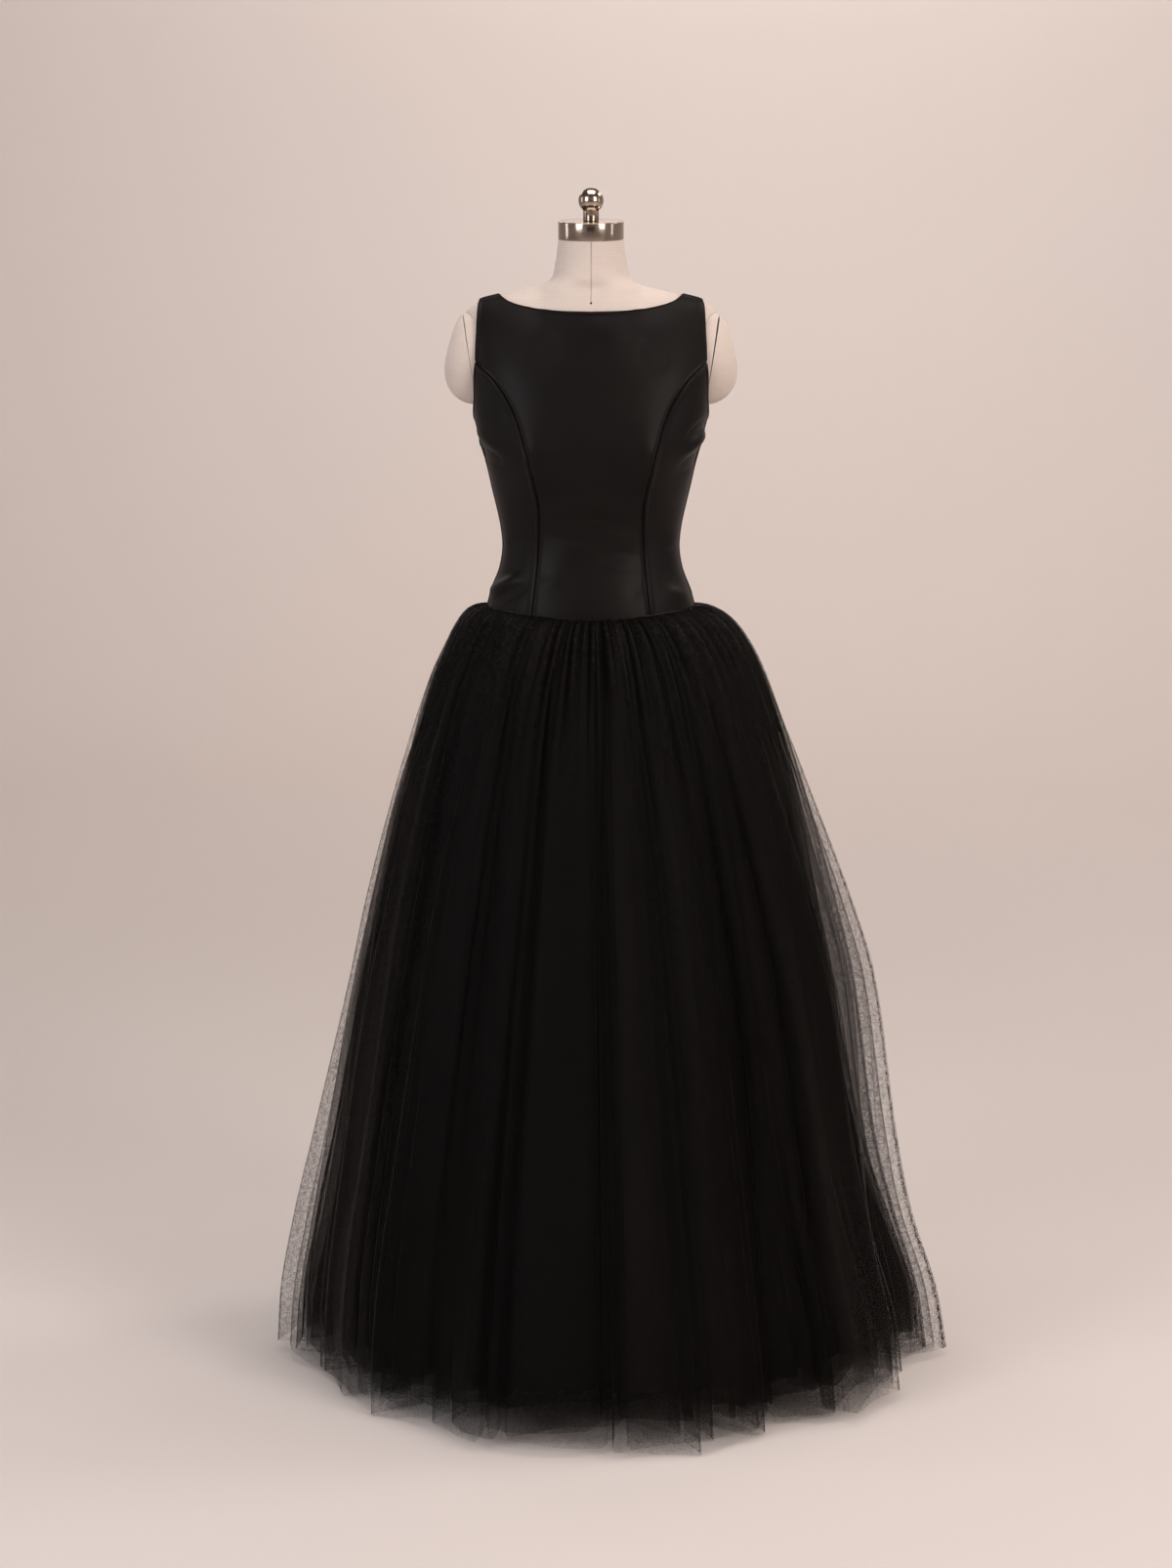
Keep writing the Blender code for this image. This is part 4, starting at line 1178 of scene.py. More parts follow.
CORE_ROWS: Rows = (
    (0.000, 1.0813, 0.0002, 0.0002, 0.0002, 0.0002, 0.0005),
    (0.018, 1.0745, 0.0160, 0.0185, 0.0145, 0.0145, 0.0040),
    (0.040, 1.0550, 0.0315, 0.0455, 0.0350, 0.0350, 0.0058),
    (0.120, 0.9701, 0.0720, 0.0945, 0.0850, 0.0850, 0.0074),
    (0.240, 0.8314, 0.1180, 0.1400, 0.1390, 0.1380, 0.0078),
    (0.390, 0.6636, 0.1500, 0.1700, 0.1900, 0.1880, 0.0090),
    (0.490, 0.5509, 0.1790, 0.1910, 0.2200, 0.2180, 0.0098),
    (0.690, 0.3236, 0.2090, 0.2360, 0.2740, 0.2700, 0.0112),
    (0.800, 0.2100, 0.2250, 0.2760, 0.2990, 0.2940, 0.0120),
    (0.920, 0.0900, 0.2460, 0.3140, 0.3180, 0.3120, 0.0128),
    (1.000, 0.0020, 0.2540, 0.3260, 0.3260, 0.3200, 0.0132),
)
INNER_ROWS: Rows = (
    (0.000, 1.0811, -0.0008, -0.0008, -0.0008, -0.0008, 0.0004),
    (0.020, 1.0700, 0.0120, 0.0140, 0.0110, 0.0110, 0.0015),
    (0.045, 1.0460, 0.0280, 0.0410, 0.0320, 0.0320, 0.0030),
    (0.120, 0.9701, 0.0600, 0.0820, 0.0730, 0.0730, 0.0048),
    (0.260, 0.8000, 0.1080, 0.1340, 0.1310, 0.1300, 0.0065),
    (0.580, 0.4500, 0.1740, 0.2030, 0.2280, 0.2250, 0.0088),
    (0.850, 0.1500, 0.2200, 0.2740, 0.2880, 0.2830, 0.0104),
    (1.000, 0.0050, 0.2360, 0.3020, 0.3060, 0.3000, 0.0110),
)
LINING_ROWS: Rows = (
    (0.000, 1.0809, -0.0024, -0.0024, -0.0024, -0.0024, 0.0003),
    (0.025, 1.0640, 0.0080, 0.0100, 0.0070, 0.0070, 0.0010),
    (0.070, 1.0200, 0.0280, 0.0450, 0.0340, 0.0340, 0.0020),
    (0.280, 0.8000, 0.0930, 0.1190, 0.1160, 0.1150, 0.0040),
    (0.640, 0.4000, 0.1490, 0.1960, 0.1970, 0.1940, 0.0060),
    (1.000, 0.0300, 0.2020, 0.2700, 0.2720, 0.2670, 0.0080),
)


@dataclass(frozen=True)
class SkirtLayer:
    """One gathered layer of the skirt, from the waist seam to its hem.

    Its size lies between two tables: near_rows where share is 0 and far_rows where it is 1.
    """

    name: str
    near_rows: Rows
    far_rows: Rows
    share: float
    gathers: int
    turned: float
    push_scale: float
    hem_low: float
    hem_high: float
    cut: FlatCut
    slot: str
    replaces: tuple[str, ...]
    seed: float
    row_count: int = 70
    degrees_per_column: float = 0.66
    swell: float = 0.016
    unevenness: float = 0.60
    drift: float = 1.3
    push_power: float = 1.7
    crowding: float = 0.62
    crowded_until: float = 0.30
    fewest_columns: int = 14
    fold_crowding: float = 0.78
    row_power: float = 1.3
    hem_level_turn: float = 2.4
    hem_slant: float = 1.6
    hem_slant_turn: float = 5.1
    hem_slant_seed: float = 1.7
    hem_from: float = 0.78
    flared_from: float = 0.75
    flared_to: float = 0.95
    drift_noise: tuple[float, float] = (0.0, 2.7)
    unevenness_noise: tuple[float, float] = (7.3, 3.6)
    swell_noise: tuple[float, float] = (13.7, 2.6)
    noise_gain: float = 3.2
    gathers_fade: tuple[float, float] = (0.02, 0.30)
    gather_height: float = 2.0
    gather_middle: float = 1.2
    panels_form: tuple[float, float] = (0.02, 0.34)
    corner_rises: tuple[float, float] = (0.30, 0.80)
    edge_drops: tuple[float, float] = (0.72, 1.0)
    panel_flatness: float = 0.9
    valley_depth: float = 3.6
    lap_height: float = 0.80
    tuck: float = 0.75
    lapped_tuck: float = 0.6

    def read(self, column: int, fall: np.ndarray) -> np.ndarray:
        """Read one column of the layer's own table, between its two given ones."""
        near = along(self.near_rows, column, fall)
        return near + (along(self.far_rows, column, fall) - near) * self.share

    def panels(self) -> dict[str, np.ndarray]:
        """Set out the columns from fold to fold, closer together at the folds' edges.

        Returns:
            For each column its turn, panel number with the share across it, panel width, push and lap.
        """
        folds = sorted(MAIN_FOLDS, key=lambda fold: fold.angle)
        angles = np.array([fold.angle + self.turned for fold in folds] + [folds[0].angle + self.turned + 360])
        pushes = np.array([fold.push for fold in folds] + [folds[0].push]) * self.push_scale
        laps = np.array([fold.lap for fold in folds] + [folds[0].lap])
        made: dict[str, list[float]] = {name: [] for name in ("turn", "panel", "width", "push", "lap")}
        for k, (low, high) in enumerate(zip(angles, angles[1:])):
            count = max(self.fewest_columns, round((high - low) / self.degrees_per_column))
            even = np.arange(count) / count
            across = even - self.fold_crowding * np.sin(2 * pi * even) / (2 * pi)
            for t in across:
                made["turn"].append(radians(low + (high - low) * t))
                made["panel"].append(k + min(t, UNDER_ONE))
                made["width"].append(radians(high - low))
                made["push"].append(pushes[k] + (pushes[k + 1] - pushes[k]) * t)
                made["lap"].append(laps[k + 1] if t > 0.5 else -laps[k])
        return {name: np.array(values) for name, values in made.items()}

    def bell(self) -> bpy.types.Object:
        """Make the layer before it is gathered, with what the gathering reads on each point.

        Returns:
            An open bell with its measures as attributes.
        """
        columns = self.panels()
        turn = columns["turn"]
        falls = np.linspace(0, 1, self.row_count) ** self.row_power
        turns, fall = np.meshgrid(turn, falls, indexing="ij")
        seam = WORN.reach(np.abs(np.angle(np.exp(1j * turn))), waist_seam(turn))[:, None]
        left, right, front, back = (self.read(n, fall) for n in (2, 3, 4, 5))
        side = np.where(np.sin(turns) > 0, right, left)
        end = np.where(np.cos(turns) > 0, front, back)
        spread = end + (side - end) * np.sin(turns) ** 2
        spread = spread + columns["push"][:, None] * fall**self.push_power
        height = self.read(1, fall)
        height = height + (waist_seam(turns) - WAIST_SEAM_SIDE) * height / WAIST_SEAM_SIDE
        panel = columns["panel"][:, None]
        number, across = np.floor(panel), panel - np.floor(panel)
        level = 0.5 + 0.5 * np.sin(self.hem_level_turn * number + self.seed)
        slant = np.sin(self.hem_slant_turn * number + self.hem_slant_seed * self.seed)
        slant = slant * (across - 0.5) * self.hem_slant
        rise = self.hem_low + (self.hem_high - self.hem_low) * np.clip(level + slant, 0, 1)
        height = height + rise * smooth_step(self.hem_from, 1.0, fall)
        reach = seam + spread
        points = np.stack([reach * np.sin(turns), -reach * np.cos(turns), height], axis=-1)
        down_reach, down_height = np.gradient(reach, axis=1), np.gradient(height, axis=1)
        size = np.hypot(down_reach, down_height)
        out = np.stack([-down_height / size * np.sin(turns), down_height / size * np.cos(turns),
                        down_reach / size], axis=-1)
        out[..., 2] *= 1 - smooth_step(self.flared_from, self.flared_to, fall)
        piece = new_piece(self.name, points, grid_faces(len(turn), self.row_count, True), out)
        _, up = cloth_measures(points)
        set_uv(piece, (turns - turns[:1]) / (2 * pi) * self.cut.width, up, self.cut.width)
        whole = np.ones_like(fall)
        kept = {"turn": turns, "fall": fall, "depth": self.read(6, fall), "reach": reach}
        kept["crowd"] = self.crowding * (1 - smooth_step(0.0, self.crowded_until, fall)) ** 2
        kept |= {name: columns[name][:, None] * whole for name in ("panel", "width", "lap")}
        for name, values in kept.items():
            held = piece.data.attributes.new(name, "FLOAT", "POINT")
            held.data.foreach_set("value", values.astype(np.float32).ravel())
        sideways = np.stack([np.cos(turns), np.sin(turns), np.zeros_like(turns)], axis=-1)
        for name, ways in (("outward", out), ("sideways", sideways)):
            held = piece.data.attributes.new(name, "FLOAT_VECTOR", "POINT")
            held.data.foreach_set("vector", ways.astype(np.float32).ravel())
        return piece

    def gather_tree(self) -> bpy.types.GeometryNodeTree:
        """Build the Geometry Nodes tree that gathers a bell and lets its gathers merge into flat panels.

        Returns:
            A tree with the inputs Cloth, Gathers, Unevenness, Drift, Swell, Seed and Finish.
        """
        tree = bpy.data.node_groups.new("gather_" + self.name, "GeometryNodeTree")
        face = tree.interface
        face.new_socket("Cloth", in_out="INPUT", socket_type="NodeSocketGeometry")
        for name in ("Gathers", "Unevenness", "Drift", "Swell", "Seed"):
            face.new_socket(name, in_out="INPUT", socket_type="NodeSocketFloat")
        face.new_socket("Finish", in_out="INPUT", socket_type="NodeSocketMaterial")
        face.new_socket("Cloth", in_out="OUTPUT", socket_type="NodeSocketGeometry")
        given = add_node(tree, "NodeGroupInput").outputs

        def math(operation: str, first: Any, second: Any = 0.0, third: Any = 0.0) -> bpy.types.NodeSocket:
            """Add one step of arithmetic and give its result."""
            return add_node(tree, "ShaderNodeMath", {"operation": operation},
                            {0: first, 1: second, 2: third}).outputs[0]

        def read(name: str, kind: str = "FLOAT") -> bpy.types.NodeSocket:
            """Read one measure of the cloth's points."""
            return add_node(tree, "GeometryNodeInputNamedAttribute", {"data_type": kind},
                            {"Name": name}).outputs["Attribute"]

        def ease(value: bpy.types.NodeSocket, low: float, high: float) -> bpy.types.NodeSocket:
            """Step smoothly from 0 at low to 1 at high."""
            return add_node(tree, "ShaderNodeMapRange", {"interpolation_type": "SMOOTHSTEP"},
                            {"Value": value, "From Min": low, "From Max": high}).outputs["Result"]

        turn, fall, depth, lap = (read(name) for name in ("turn", "fall", "depth", "lap"))
        ring = add_node(tree, "ShaderNodeCombineXYZ", None,
                        {0: math("COSINE", turn), 1: math("SINE", turn),
                         2: math("MULTIPLY", fall, 0.5)}).outputs[0]

        def drawn(offset: float, scale: float) -> bpy.types.NodeSocket:
            """Add a seeded noise round the skirt, from about -1 to 1.

            Args:
                offset: What sets it apart from the layer's other noises.
                scale: How fine it is.

            Returns:
                The noise's socket.
            """
            noise = add_node(tree, "ShaderNodeTexNoise", {"noise_dimensions": "4D"},
                             {"Vector": ring, "W": math("ADD", given["Seed"], offset), "Scale": scale,
                              "Detail": 1.0}).outputs[0]
            return math("MULTIPLY_ADD", noise, self.noise_gain, -self.noise_gain / 2)

        # Gathers at the waist, which fade as they merge further down
        drift = math("MULTIPLY", drawn(*self.drift_noise), given["Drift"])
        phase = math("MULTIPLY_ADD", turn, given["Gathers"], math("MULTIPLY", drift, 2 * pi))
        gather = math("ABSOLUTE", math("COSINE", math("MULTIPLY", phase, 0.5)))
        gather = math("MULTIPLY_ADD", gather, self.gather_height, -self.gather_middle)
        kept = math("SUBTRACT", 1.0, ease(fall, *self.gathers_fade))
        uneven = math("MULTIPLY_ADD", drawn(*self.unevenness_noise), given["Unevenness"], 1.0)
        gather = math("MULTIPLY", math("MULTIPLY", gather, kept), math("MULTIPLY", uneven, depth))
        # Panels between the main folds: flat, with edges that stand out and lap over a narrow valley
        across = math("MULTIPLY_ADD", math("FRACT", read("panel")), 2.0, -1.0)
        away = math("ABSOLUTE", across)
        merged = ease(fall, *self.panels_form)
        corner, drop = ease(away, *self.corner_rises), ease(away, *self.edge_drops)
        # A flat panel lies an eighth of its turn squared below the round it spans
        chord = math("MULTIPLY", math("SUBTRACT", math("MULTIPLY", across, across), 1.0),
                     math("MULTIPLY", math("MULTIPLY", read("width"), read("width")), 1 / 8))
        chord = math("MULTIPLY", math("MULTIPLY", chord, read("reach")), self.panel_flatness)
        valley = math("MULTIPLY", math("MULTIPLY", drop, depth), -self.valley_depth)
        lapped = math("MULTIPLY", math("MULTIPLY", lap, corner), math("MULTIPLY", depth, self.lap_height))
        lapped = math("MULTIPLY", lapped, math("SUBTRACT", 1.0, drop))
        panel = math("MULTIPLY", math("ADD", math("ADD", chord, valley), lapped), merged)
        tuck = math("MULTIPLY", math("MULTIPLY", corner, math("SUBTRACT", 1.0, drop)), math("SIGN", across))
        sideways = math("MULTIPLY", math("MULTIPLY_ADD", lap, self.lapped_tuck, self.tuck), depth)
        tuck = math("MULTIPLY", math("MULTIPLY", tuck, sideways), merged)
        swell = math("MULTIPLY", math("MULTIPLY", drawn(*self.swell_noise), given["Swell"]), fall)
        push = add_node(tree, "ShaderNodeVectorMath", {"operation": "SCALE"},
                        {0: read("outward", "FLOAT_VECTOR"),
                         "Scale": math("ADD", math("ADD", gather, panel), swell)}).outputs[0]
        slide = add_node(tree, "ShaderNodeVectorMath", {"operation": "SCALE"},
                         {0: read("sideways", "FLOAT_VECTOR"), "Scale": tuck}).outputs[0]
        whole = add_node(tree, "ShaderNodeVectorMath", {"operation": "ADD"}, {0: push, 1: slide}).outputs[0]
        moved = add_node(tree, "GeometryNodeSetPosition", None,
                         {"Geometry": given["Cloth"], "Offset": whole}).outputs["Geometry"]
        real = add_node(tree, "GeometryNodeRealizeInstances", None, {"Geometry": moved}).outputs["Geometry"]
        coated = add_node(tree, "GeometryNodeSetMaterial", None,
                          {"Geometry": real, "Material": given["Finish"]}).outputs["Geometry"]
        add_node(tree, "NodeGroupOutput", None, {"Cloth": coated})
        return tree

    def build(self, finish: bpy.types.Material) -> None:
        """Args:
            finish: Its material.
        """
        piece = self.bell()
        values = {"Gathers": float(self.gathers), "Unevenness": self.unevenness, "Drift": self.drift,
                  "Swell": self.swell, "Seed": self.seed, "Finish": finish}
        apply_tree(piece, self.gather_tree(), values)
        for name in ("turn", "fall", "depth", "reach", "panel", "width", "lap", "outward", "sideways"):
            held = piece.data.attributes.get(name)
            if held is not None:
                piece.data.attributes.remove(held)
        piece.data.shade_smooth()
        dress(piece, finish, replaces=self.replaces)


OUTER_NODES = ("skirt_outer_tulle_front", "skirt_outer_tulle_back")
INNER_NODES = ("skirt_inner_tulle_front", "skirt_inner_tulle_back")
LINING_NODES = ("skirt_lining_front", "skirt_lining_back")
SKIRT_LAYERS = (
    SkirtLayer("skirt_outer_tulle", near_rows=OUTER_ROWS, far_rows=CORE_ROWS, share=0.0, gathers=48,
               turned=0.0, push_scale=1.0, hem_low=0.000, hem_high=0.016,
               cut=FlatCut(5.25, 1.20, 4.3), slot="outer_tulle", replaces=OUTER_NODES, seed=3.0,
               row_count=78),
    SkirtLayer("skirt_second_tulle", near_rows=OUTER_ROWS, far_rows=CORE_ROWS, share=0.45, gathers=46,
               turned=2.5, push_scale=1.0, hem_low=0.002, hem_high=0.032,
               cut=FlatCut(5.25, 1.19, 4.1), slot="outer_tulle", replaces=OUTER_NODES, seed=8.0),
    SkirtLayer("skirt_third_tulle", near_rows=OUTER_ROWS, far_rows=CORE_ROWS, share=0.95, gathers=44,
               turned=-2.0, push_scale=0.9, hem_low=0.016, hem_high=0.042,
               cut=FlatCut(5.0, 1.18, 3.85), slot="outer_tulle", replaces=OUTER_NODES, seed=11.0),
    SkirtLayer("skirt_fourth_tulle", near_rows=OUTER_ROWS, far_rows=CORE_ROWS, share=1.45, gathers=40,
               turned=1.2, push_scale=0.7, hem_low=0.030, hem_high=0.056,
               cut=FlatCut(4.5, 1.17, 3.45), slot="outer_tulle", replaces=OUTER_NODES, seed=15.0,
               swell=0.010),
    SkirtLayer("skirt_inner_tulle", near_rows=INNER_ROWS, far_rows=CORE_ROWS, share=0.0, gathers=34,
               turned=-3.0, push_scale=0.5, hem_low=0.036, hem_high=0.064,
               cut=FlatCut(4.15, 1.15, 3.1), slot="inner_tulle", replaces=INNER_NODES, seed=19.0,
               row_count=60, swell=0.006),
    SkirtLayer("skirt_lining", near_rows=LINING_ROWS, far_rows=CORE_ROWS, share=0.0, gathers=24,
               turned=2.0, push_scale=0.3, hem_low=0.016, hem_high=0.030,
               cut=FlatCut(3.2, 1.08, 2.45), slot="skirt_lining", replaces=LINING_NODES, seed=27.0,
               row_count=50, swell=0.004),
)


@dataclass(frozen=True)
class DressForm:
    """The linen-covered form: its trunk and neck, and the domes that close its armholes."""

    levels: tuple[float, ...] = (
        0.80, 0.87, 0.95, 1.02, 1.08, 1.12, 1.163, 1.20, 1.24, 1.275, 1.305, 1.335,
        1.37, 1.41, 1.44, 1.465, 1.48, 1.49, 1.499, 1.507, 1.513, 1.519, 1.525,
    )
    neck_rings: Rows = (
        (1.534, 0.0545, 0.054, 0.060),
        (1.546, 0.0515, 0.050, 0.055),
        (1.566, 0.0480, 0.0475, 0.050),
        (NECK_TOP, 0.0453, 0.0453, 0.0453),
    )
    rings_between: int = 5
    nape_low: float = 1.521
    nape_high: float = 1.560
    nape_rounds: int = 12
    quarter_steps: int = 37
    fine_turns: tuple[float, ...] = (0.35, 0.8, 1.4, 81, 83.5, 86, 88.5)
    seam_trough: float = 0.0006
    seam_width: float = 0.0009
    seam_shade: float = 0.55
    seam_shade_width: float = 0.0006
    seam_from: float = 1.4995
    stitches_from: float = 0.002
    stitches_to: float = 1.586
    stitch_points: int = 40
    stitch_smoothing: int = 3
    stitch_sunk: float = 0.0006
    stitch_pitch: float = 0.0026
    stitch: tuple[float, float, float] = (0.0006, 0.0005, 0.0017)
    cap_gap: float = 0.0008
    cap_centre: float = 1.4250
    cap_half_height: float = 0.0635
    cap_half_depth: float = 0.040
    cap_bulge: float = 0.039
    cap_sag: float = 0.4
    cap_spokes: int = 96
    base_from: float = 0.30
    base_to: float = 0.965
    base_rings: int = 5
    dome_rings: int = 30
    dome_turn: float = 0.985
    slit_top_x: float = 0.1775
    slit_low_x: float = 0.1640
    slit_top: float = 1.491
    slit_low: float = 1.400
    slit_right: float = 0.0026
    slit_left: float = 0.0012
    slit_foot: float = 1 / 3
    plate_share: float = 0.86
    plate_from: float = 0.15
    plate_wall: float = 0.3
    plate_steps: int = 48
    eyelet_height: float = 1.502
    eyelet_radius: float = 0.0013
    eyelet_steps: int = 16
    eyelet_profile: Rows = ((1.0, -0.0004), (1.0, 0.0005), (0.55, 0.0006), (0.45, 0.0))

    def turns(self) -> np.ndarray:
        """Give the turns of a ring, close together at the centre seams and on the shoulders.

        Returns:
            The turns in radians, rising from the centre front.
        """
        quarter = np.unique(np.append(np.linspace(0, 90, self.quarter_steps), self.fine_turns))
        half = np.concatenate([quarter, 180 - quarter[-2::-1]])
        return np.radians(np.concatenate([half, 360 - half[-2:0:-1]]))

    def trunk(self, finish: bpy.types.Material) -> None:
        """Make the trunk and neck as one closed piece, its centre front and back seams sunk.

        Args:
            finish: Its linen.
        """
        angles = self.turns()
        keys = []
        for height in self.levels:
            reach = FORM.reach(angles, np.full(angles.shape, height))
            keys.append(np.stack([reach * np.sin(angles), -reach * np.cos(angles),
                                  np.full(angles.shape, height)], axis=-1))
        for height, half_width, front, back in self.neck_rings:
            tilt = tan(radians(NECK_TILT)) * smooth_step(self.neck_rings[0][0], NECK_TOP, np.array(height))
            y = -np.where(np.cos(angles) > 0, front, back) * np.cos(angles)
            keys.append(np.stack([half_width * np.sin(angles), y, height + y * tilt], axis=-1))
        places = np.concatenate([[0.0], np.cumsum(
            [np.linalg.norm(b - a, axis=-1).mean() for a, b in zip(keys, keys[1:])])])
        wanted = np.concatenate([np.linspace(a, b, self.rings_between, endpoint=False)
                                 for a, b in zip(places, places[1:])] + [[places[-1]]])
        flat = np.array([ring.ravel() for ring in keys])
        table = tuple((float(p), *row) for p, row in zip(places, flat))
        rings = np.stack([along(table, n + 1, wanted) for n in range(flat.shape[1])], axis=-1)
        rings = rings.reshape(len(wanted), len(angles), 3)
        level = rings[..., 2].mean(axis=1)
        nape = np.flatnonzero((level > self.nape_low) & (level < self.nape_high))
        for _ in range(self.nape_rounds):
            rings[nape] = (rings[nape - 1] + 2 * rings[nape] + rings[nape + 1]) / 4
        seam = np.exp(-((rings[..., 0] / self.seam_width) ** 2)) * (rings[..., 2] > self.seam_from)
        rings[..., 1] += np.sign(-rings[..., 1]) * self.seam_trough * seam
        points = np.swapaxes(rings, 0, 1).reshape(-1, 3)
        points = np.concatenate([points, [rings[0].mean(axis=0), rings[-1].mean(axis=0)]])
        piece = new_piece("form_trunk_linen", points, closed_faces(len(angles), len(wanted)), sharp=50)
        held = piece.data.attributes.new("seam", "FLOAT", "POINT")
        line = np.exp(-((points[:, 0] / self.seam_shade_width) ** 2)) * (points[:, 2] > self.seam_from)
        line *= self.seam_shade
        line[-2:] = 0
        held.data.foreach_set("value", line.astype(np.float32))
        dress(piece, finish, replaces=("form_torso",))

    def dome(self, way: int) -> tuple[np.ndarray, list[tuple[int, ...]]]:
        """Lay out one arm cap as a closed dome on the trunk's side.

        Args:
            way: 1 at the viewer's right, -1 at the left.

        Returns:
            Its points and faces.
        """
        spokes = np.arange(self.cap_spokes) * 2 * pi / self.cap_spokes
        base = np.linspace(self.base_from, self.base_to, self.base_rings)
        dome = np.cos(np.linspace(0, pi / 2, self.dome_rings)[:-1] * self.dome_turn)
        shares = np.concatenate([base, dome])
        bulges = np.concatenate([np.zeros(len(base)), np.ones(len(dome))])
        share, spoke = np.meshgrid(shares, spokes, indexing="ij")
        y = self.cap_half_depth * share * np.sin(spoke)
        height = self.cap_centre + self.cap_half_height * share * np.cos(spoke)
        round_out = np.sqrt(np.maximum(1 - share**2, 0)) * (1 - self.cap_sag * share * np.cos(spoke))
        x = FORM.side_x(y, height) + self.cap_gap + self.cap_bulge * round_out * bulges[:, None]
        rings = np.stack([way * x, y, height], axis=-1)
        points = np.swapaxes(rings, 0, 1).reshape(-1, 3)
        points = np.concatenate([points, [rings[0].mean(axis=0), rings[-1].mean(axis=0)]])
        return points, closed_faces(self.cap_spokes, len(shares))

    def arm_cap(self, way: int, linen: bpy.types.Material, metal: bpy.types.Material) -> None:
        """Make one arm cap in two, the shoulder's stub and the cap, with the plate in the slit between them.

        Args:
            way: 1 at the viewer's right, -1 at the left.
            linen: The cloth over both.
            metal: The plate's metal.
        """
        side, slit = ("right", self.slit_right) if way > 0 else ("left", self.slit_left)
        points, faces = self.dome(way)
        run = self.slit_top - self.slit_low
        lean = Vector((way * (self.slit_top_x - self.slit_low_x), 0.0, run)).normalized()
        away = Vector((way * lean.z, 0.0, -way * lean.x))
        cut_at = Vector((way * self.slit_top_x, 0.0, self.slit_top))
        both = bmesh.new()
        for outer_half in (False, True):
            narrowing = slit * (1 - self.slit_foot) / run if outer_half else 0.0
            across = (away - lean * narrowing).normalized()
            at = cut_at + away * (slit if outer_half else 0.0)
            half = new_piece("cap_half", points, faces)
            cut = bmesh.new()
            cut.from_mesh(half.data)
            bmesh.ops.bisect_plane(cut, geom=cut.verts[:] + cut.edges[:] + cut.faces[:], plane_co=at,
                                   plane_no=across, clear_outer=not outer_half, clear_inner=outer_half)
            bmesh.ops.holes_fill(cut, edges=[edge for edge in cut.edges if edge.is_boundary])
            cut.to_mesh(half.data)
            cut.free()
            both.from_mesh(half.data)
            bpy.data.objects.remove(half)
        mesh = bpy.data.meshes.new(f"arm_cap_{side}_linen")
        both.to_mesh(mesh)
        both.free()
        mesh.shade_smooth()
        mesh.set_sharp_from_angle(angle=radians(SHARP_DEGREES))
        piece = bpy.data.objects.new(mesh.name, mesh)
        bpy.context.scene.collection.objects.link(piece)
        dress(piece, linen, replaces=(f"form_arm_cap_{side}",))
        # The plate is dark steel, as on real forms, and it also stands in for the shade deep in the slit:
        # partly painted shade.
        steps = self.plate_steps
        spokes = np.arange(steps) * 2 * pi / steps
        middle = np.array(cut_at - lean * self.cap_half_height)
        wide, tall = self.cap_half_depth * self.plate_share, self.cap_half_height * self.plate_share
        ring = np.outer(np.cos(spokes) * tall, lean) + np.outer(np.sin(spokes) * wide, [0.0, 1.0, 0.0])
        ring = ring + middle + np.array(away) * slit * self.plate_from
        rims = np.concatenate([ring, ring + np.array(away) * slit * self.plate_wall])
        plate_faces = [(i, (i + 1) % steps, (i + 1) % steps + steps, i + steps) for i in range(steps)]
        plate_faces += [tuple(range(steps - 1, -1, -1)), tuple(range(steps, 2 * steps))]
        dress(new_piece(f"arm_plate_{side}", rims, plate_faces), metal)

    def neck_stitches(self, finish: bpy.types.Material) -> None:
        """Sew the neck's centre front and centre back seams.

        Args:
            finish: The thread.
        """
        paths, ways = [], []
        count, each_side = self.stitch_points, self.stitch_smoothing
        window = np.ones(2 * each_side + 1) / (2 * each_side + 1)
        heights = np.linspace(self.seam_from + self.stitches_from, self.stitches_to, count)
        for way, column in ((-1, 2), (1, 3)):
            low = FORM.half_depth(np.zeros(count), heights, way > 0)
            neck = along(self.neck_rings, column, heights)
            y = np.where(heights < self.levels[-1], low, neck)
            y = np.convolve(np.pad(y, each_side, mode="edge"), window, mode="valid")
            paths.append(np.stack([np.zeros(count), way * (y - self.stitch_sunk), heights], axis=-1))
            ways.append(np.tile([0.0, float(way), 0.0], (count, 1)))
        stitches = Repeat("neck_seam_stitches", self.stitch_pitch, self.stitch)
        stitches.build(paths, ways, finish, "form_linen")

    def eyelet(self, finish: bpy.types.Material) -> None:
        """Press the small eyelet in at the foot of the neck's front seam.

        Args:
            finish: Its metal.
        """
        steps, rows = self.eyelet_steps, len(self.eyelet_profile)
        turn = np.linspace(0, 2 * pi, steps, endpoint=False)
        height = np.array(self.eyelet_height)
        front = -float(FORM.half_depth(np.array(0.0), height, False))
        rings = []
        for radius, proud in self.eyelet_profile:
            rings.append(np.stack([np.cos(turn) * radius * self.eyelet_radius,
                                   np.full(steps, front - proud),
                                   height + np.sin(turn) * radius * self.eyelet_radius], axis=-1))
        points = np.swapaxes(np.array(rings), 0, 1).reshape(-1, 3)
        faces = grid_faces(steps, rows, True)
        faces.append(tuple(i * rows for i in range(steps)))
        faces.append(tuple(i * rows + rows - 1 for i in range(steps - 1, -1, -1)))
        outward = (points - np.array([0.0, 0.0, float(height)])) * np.array([1.0, 0.0, 1.0])
        dress(new_piece("neck_seam_eyelet", points, faces, outward), finish)


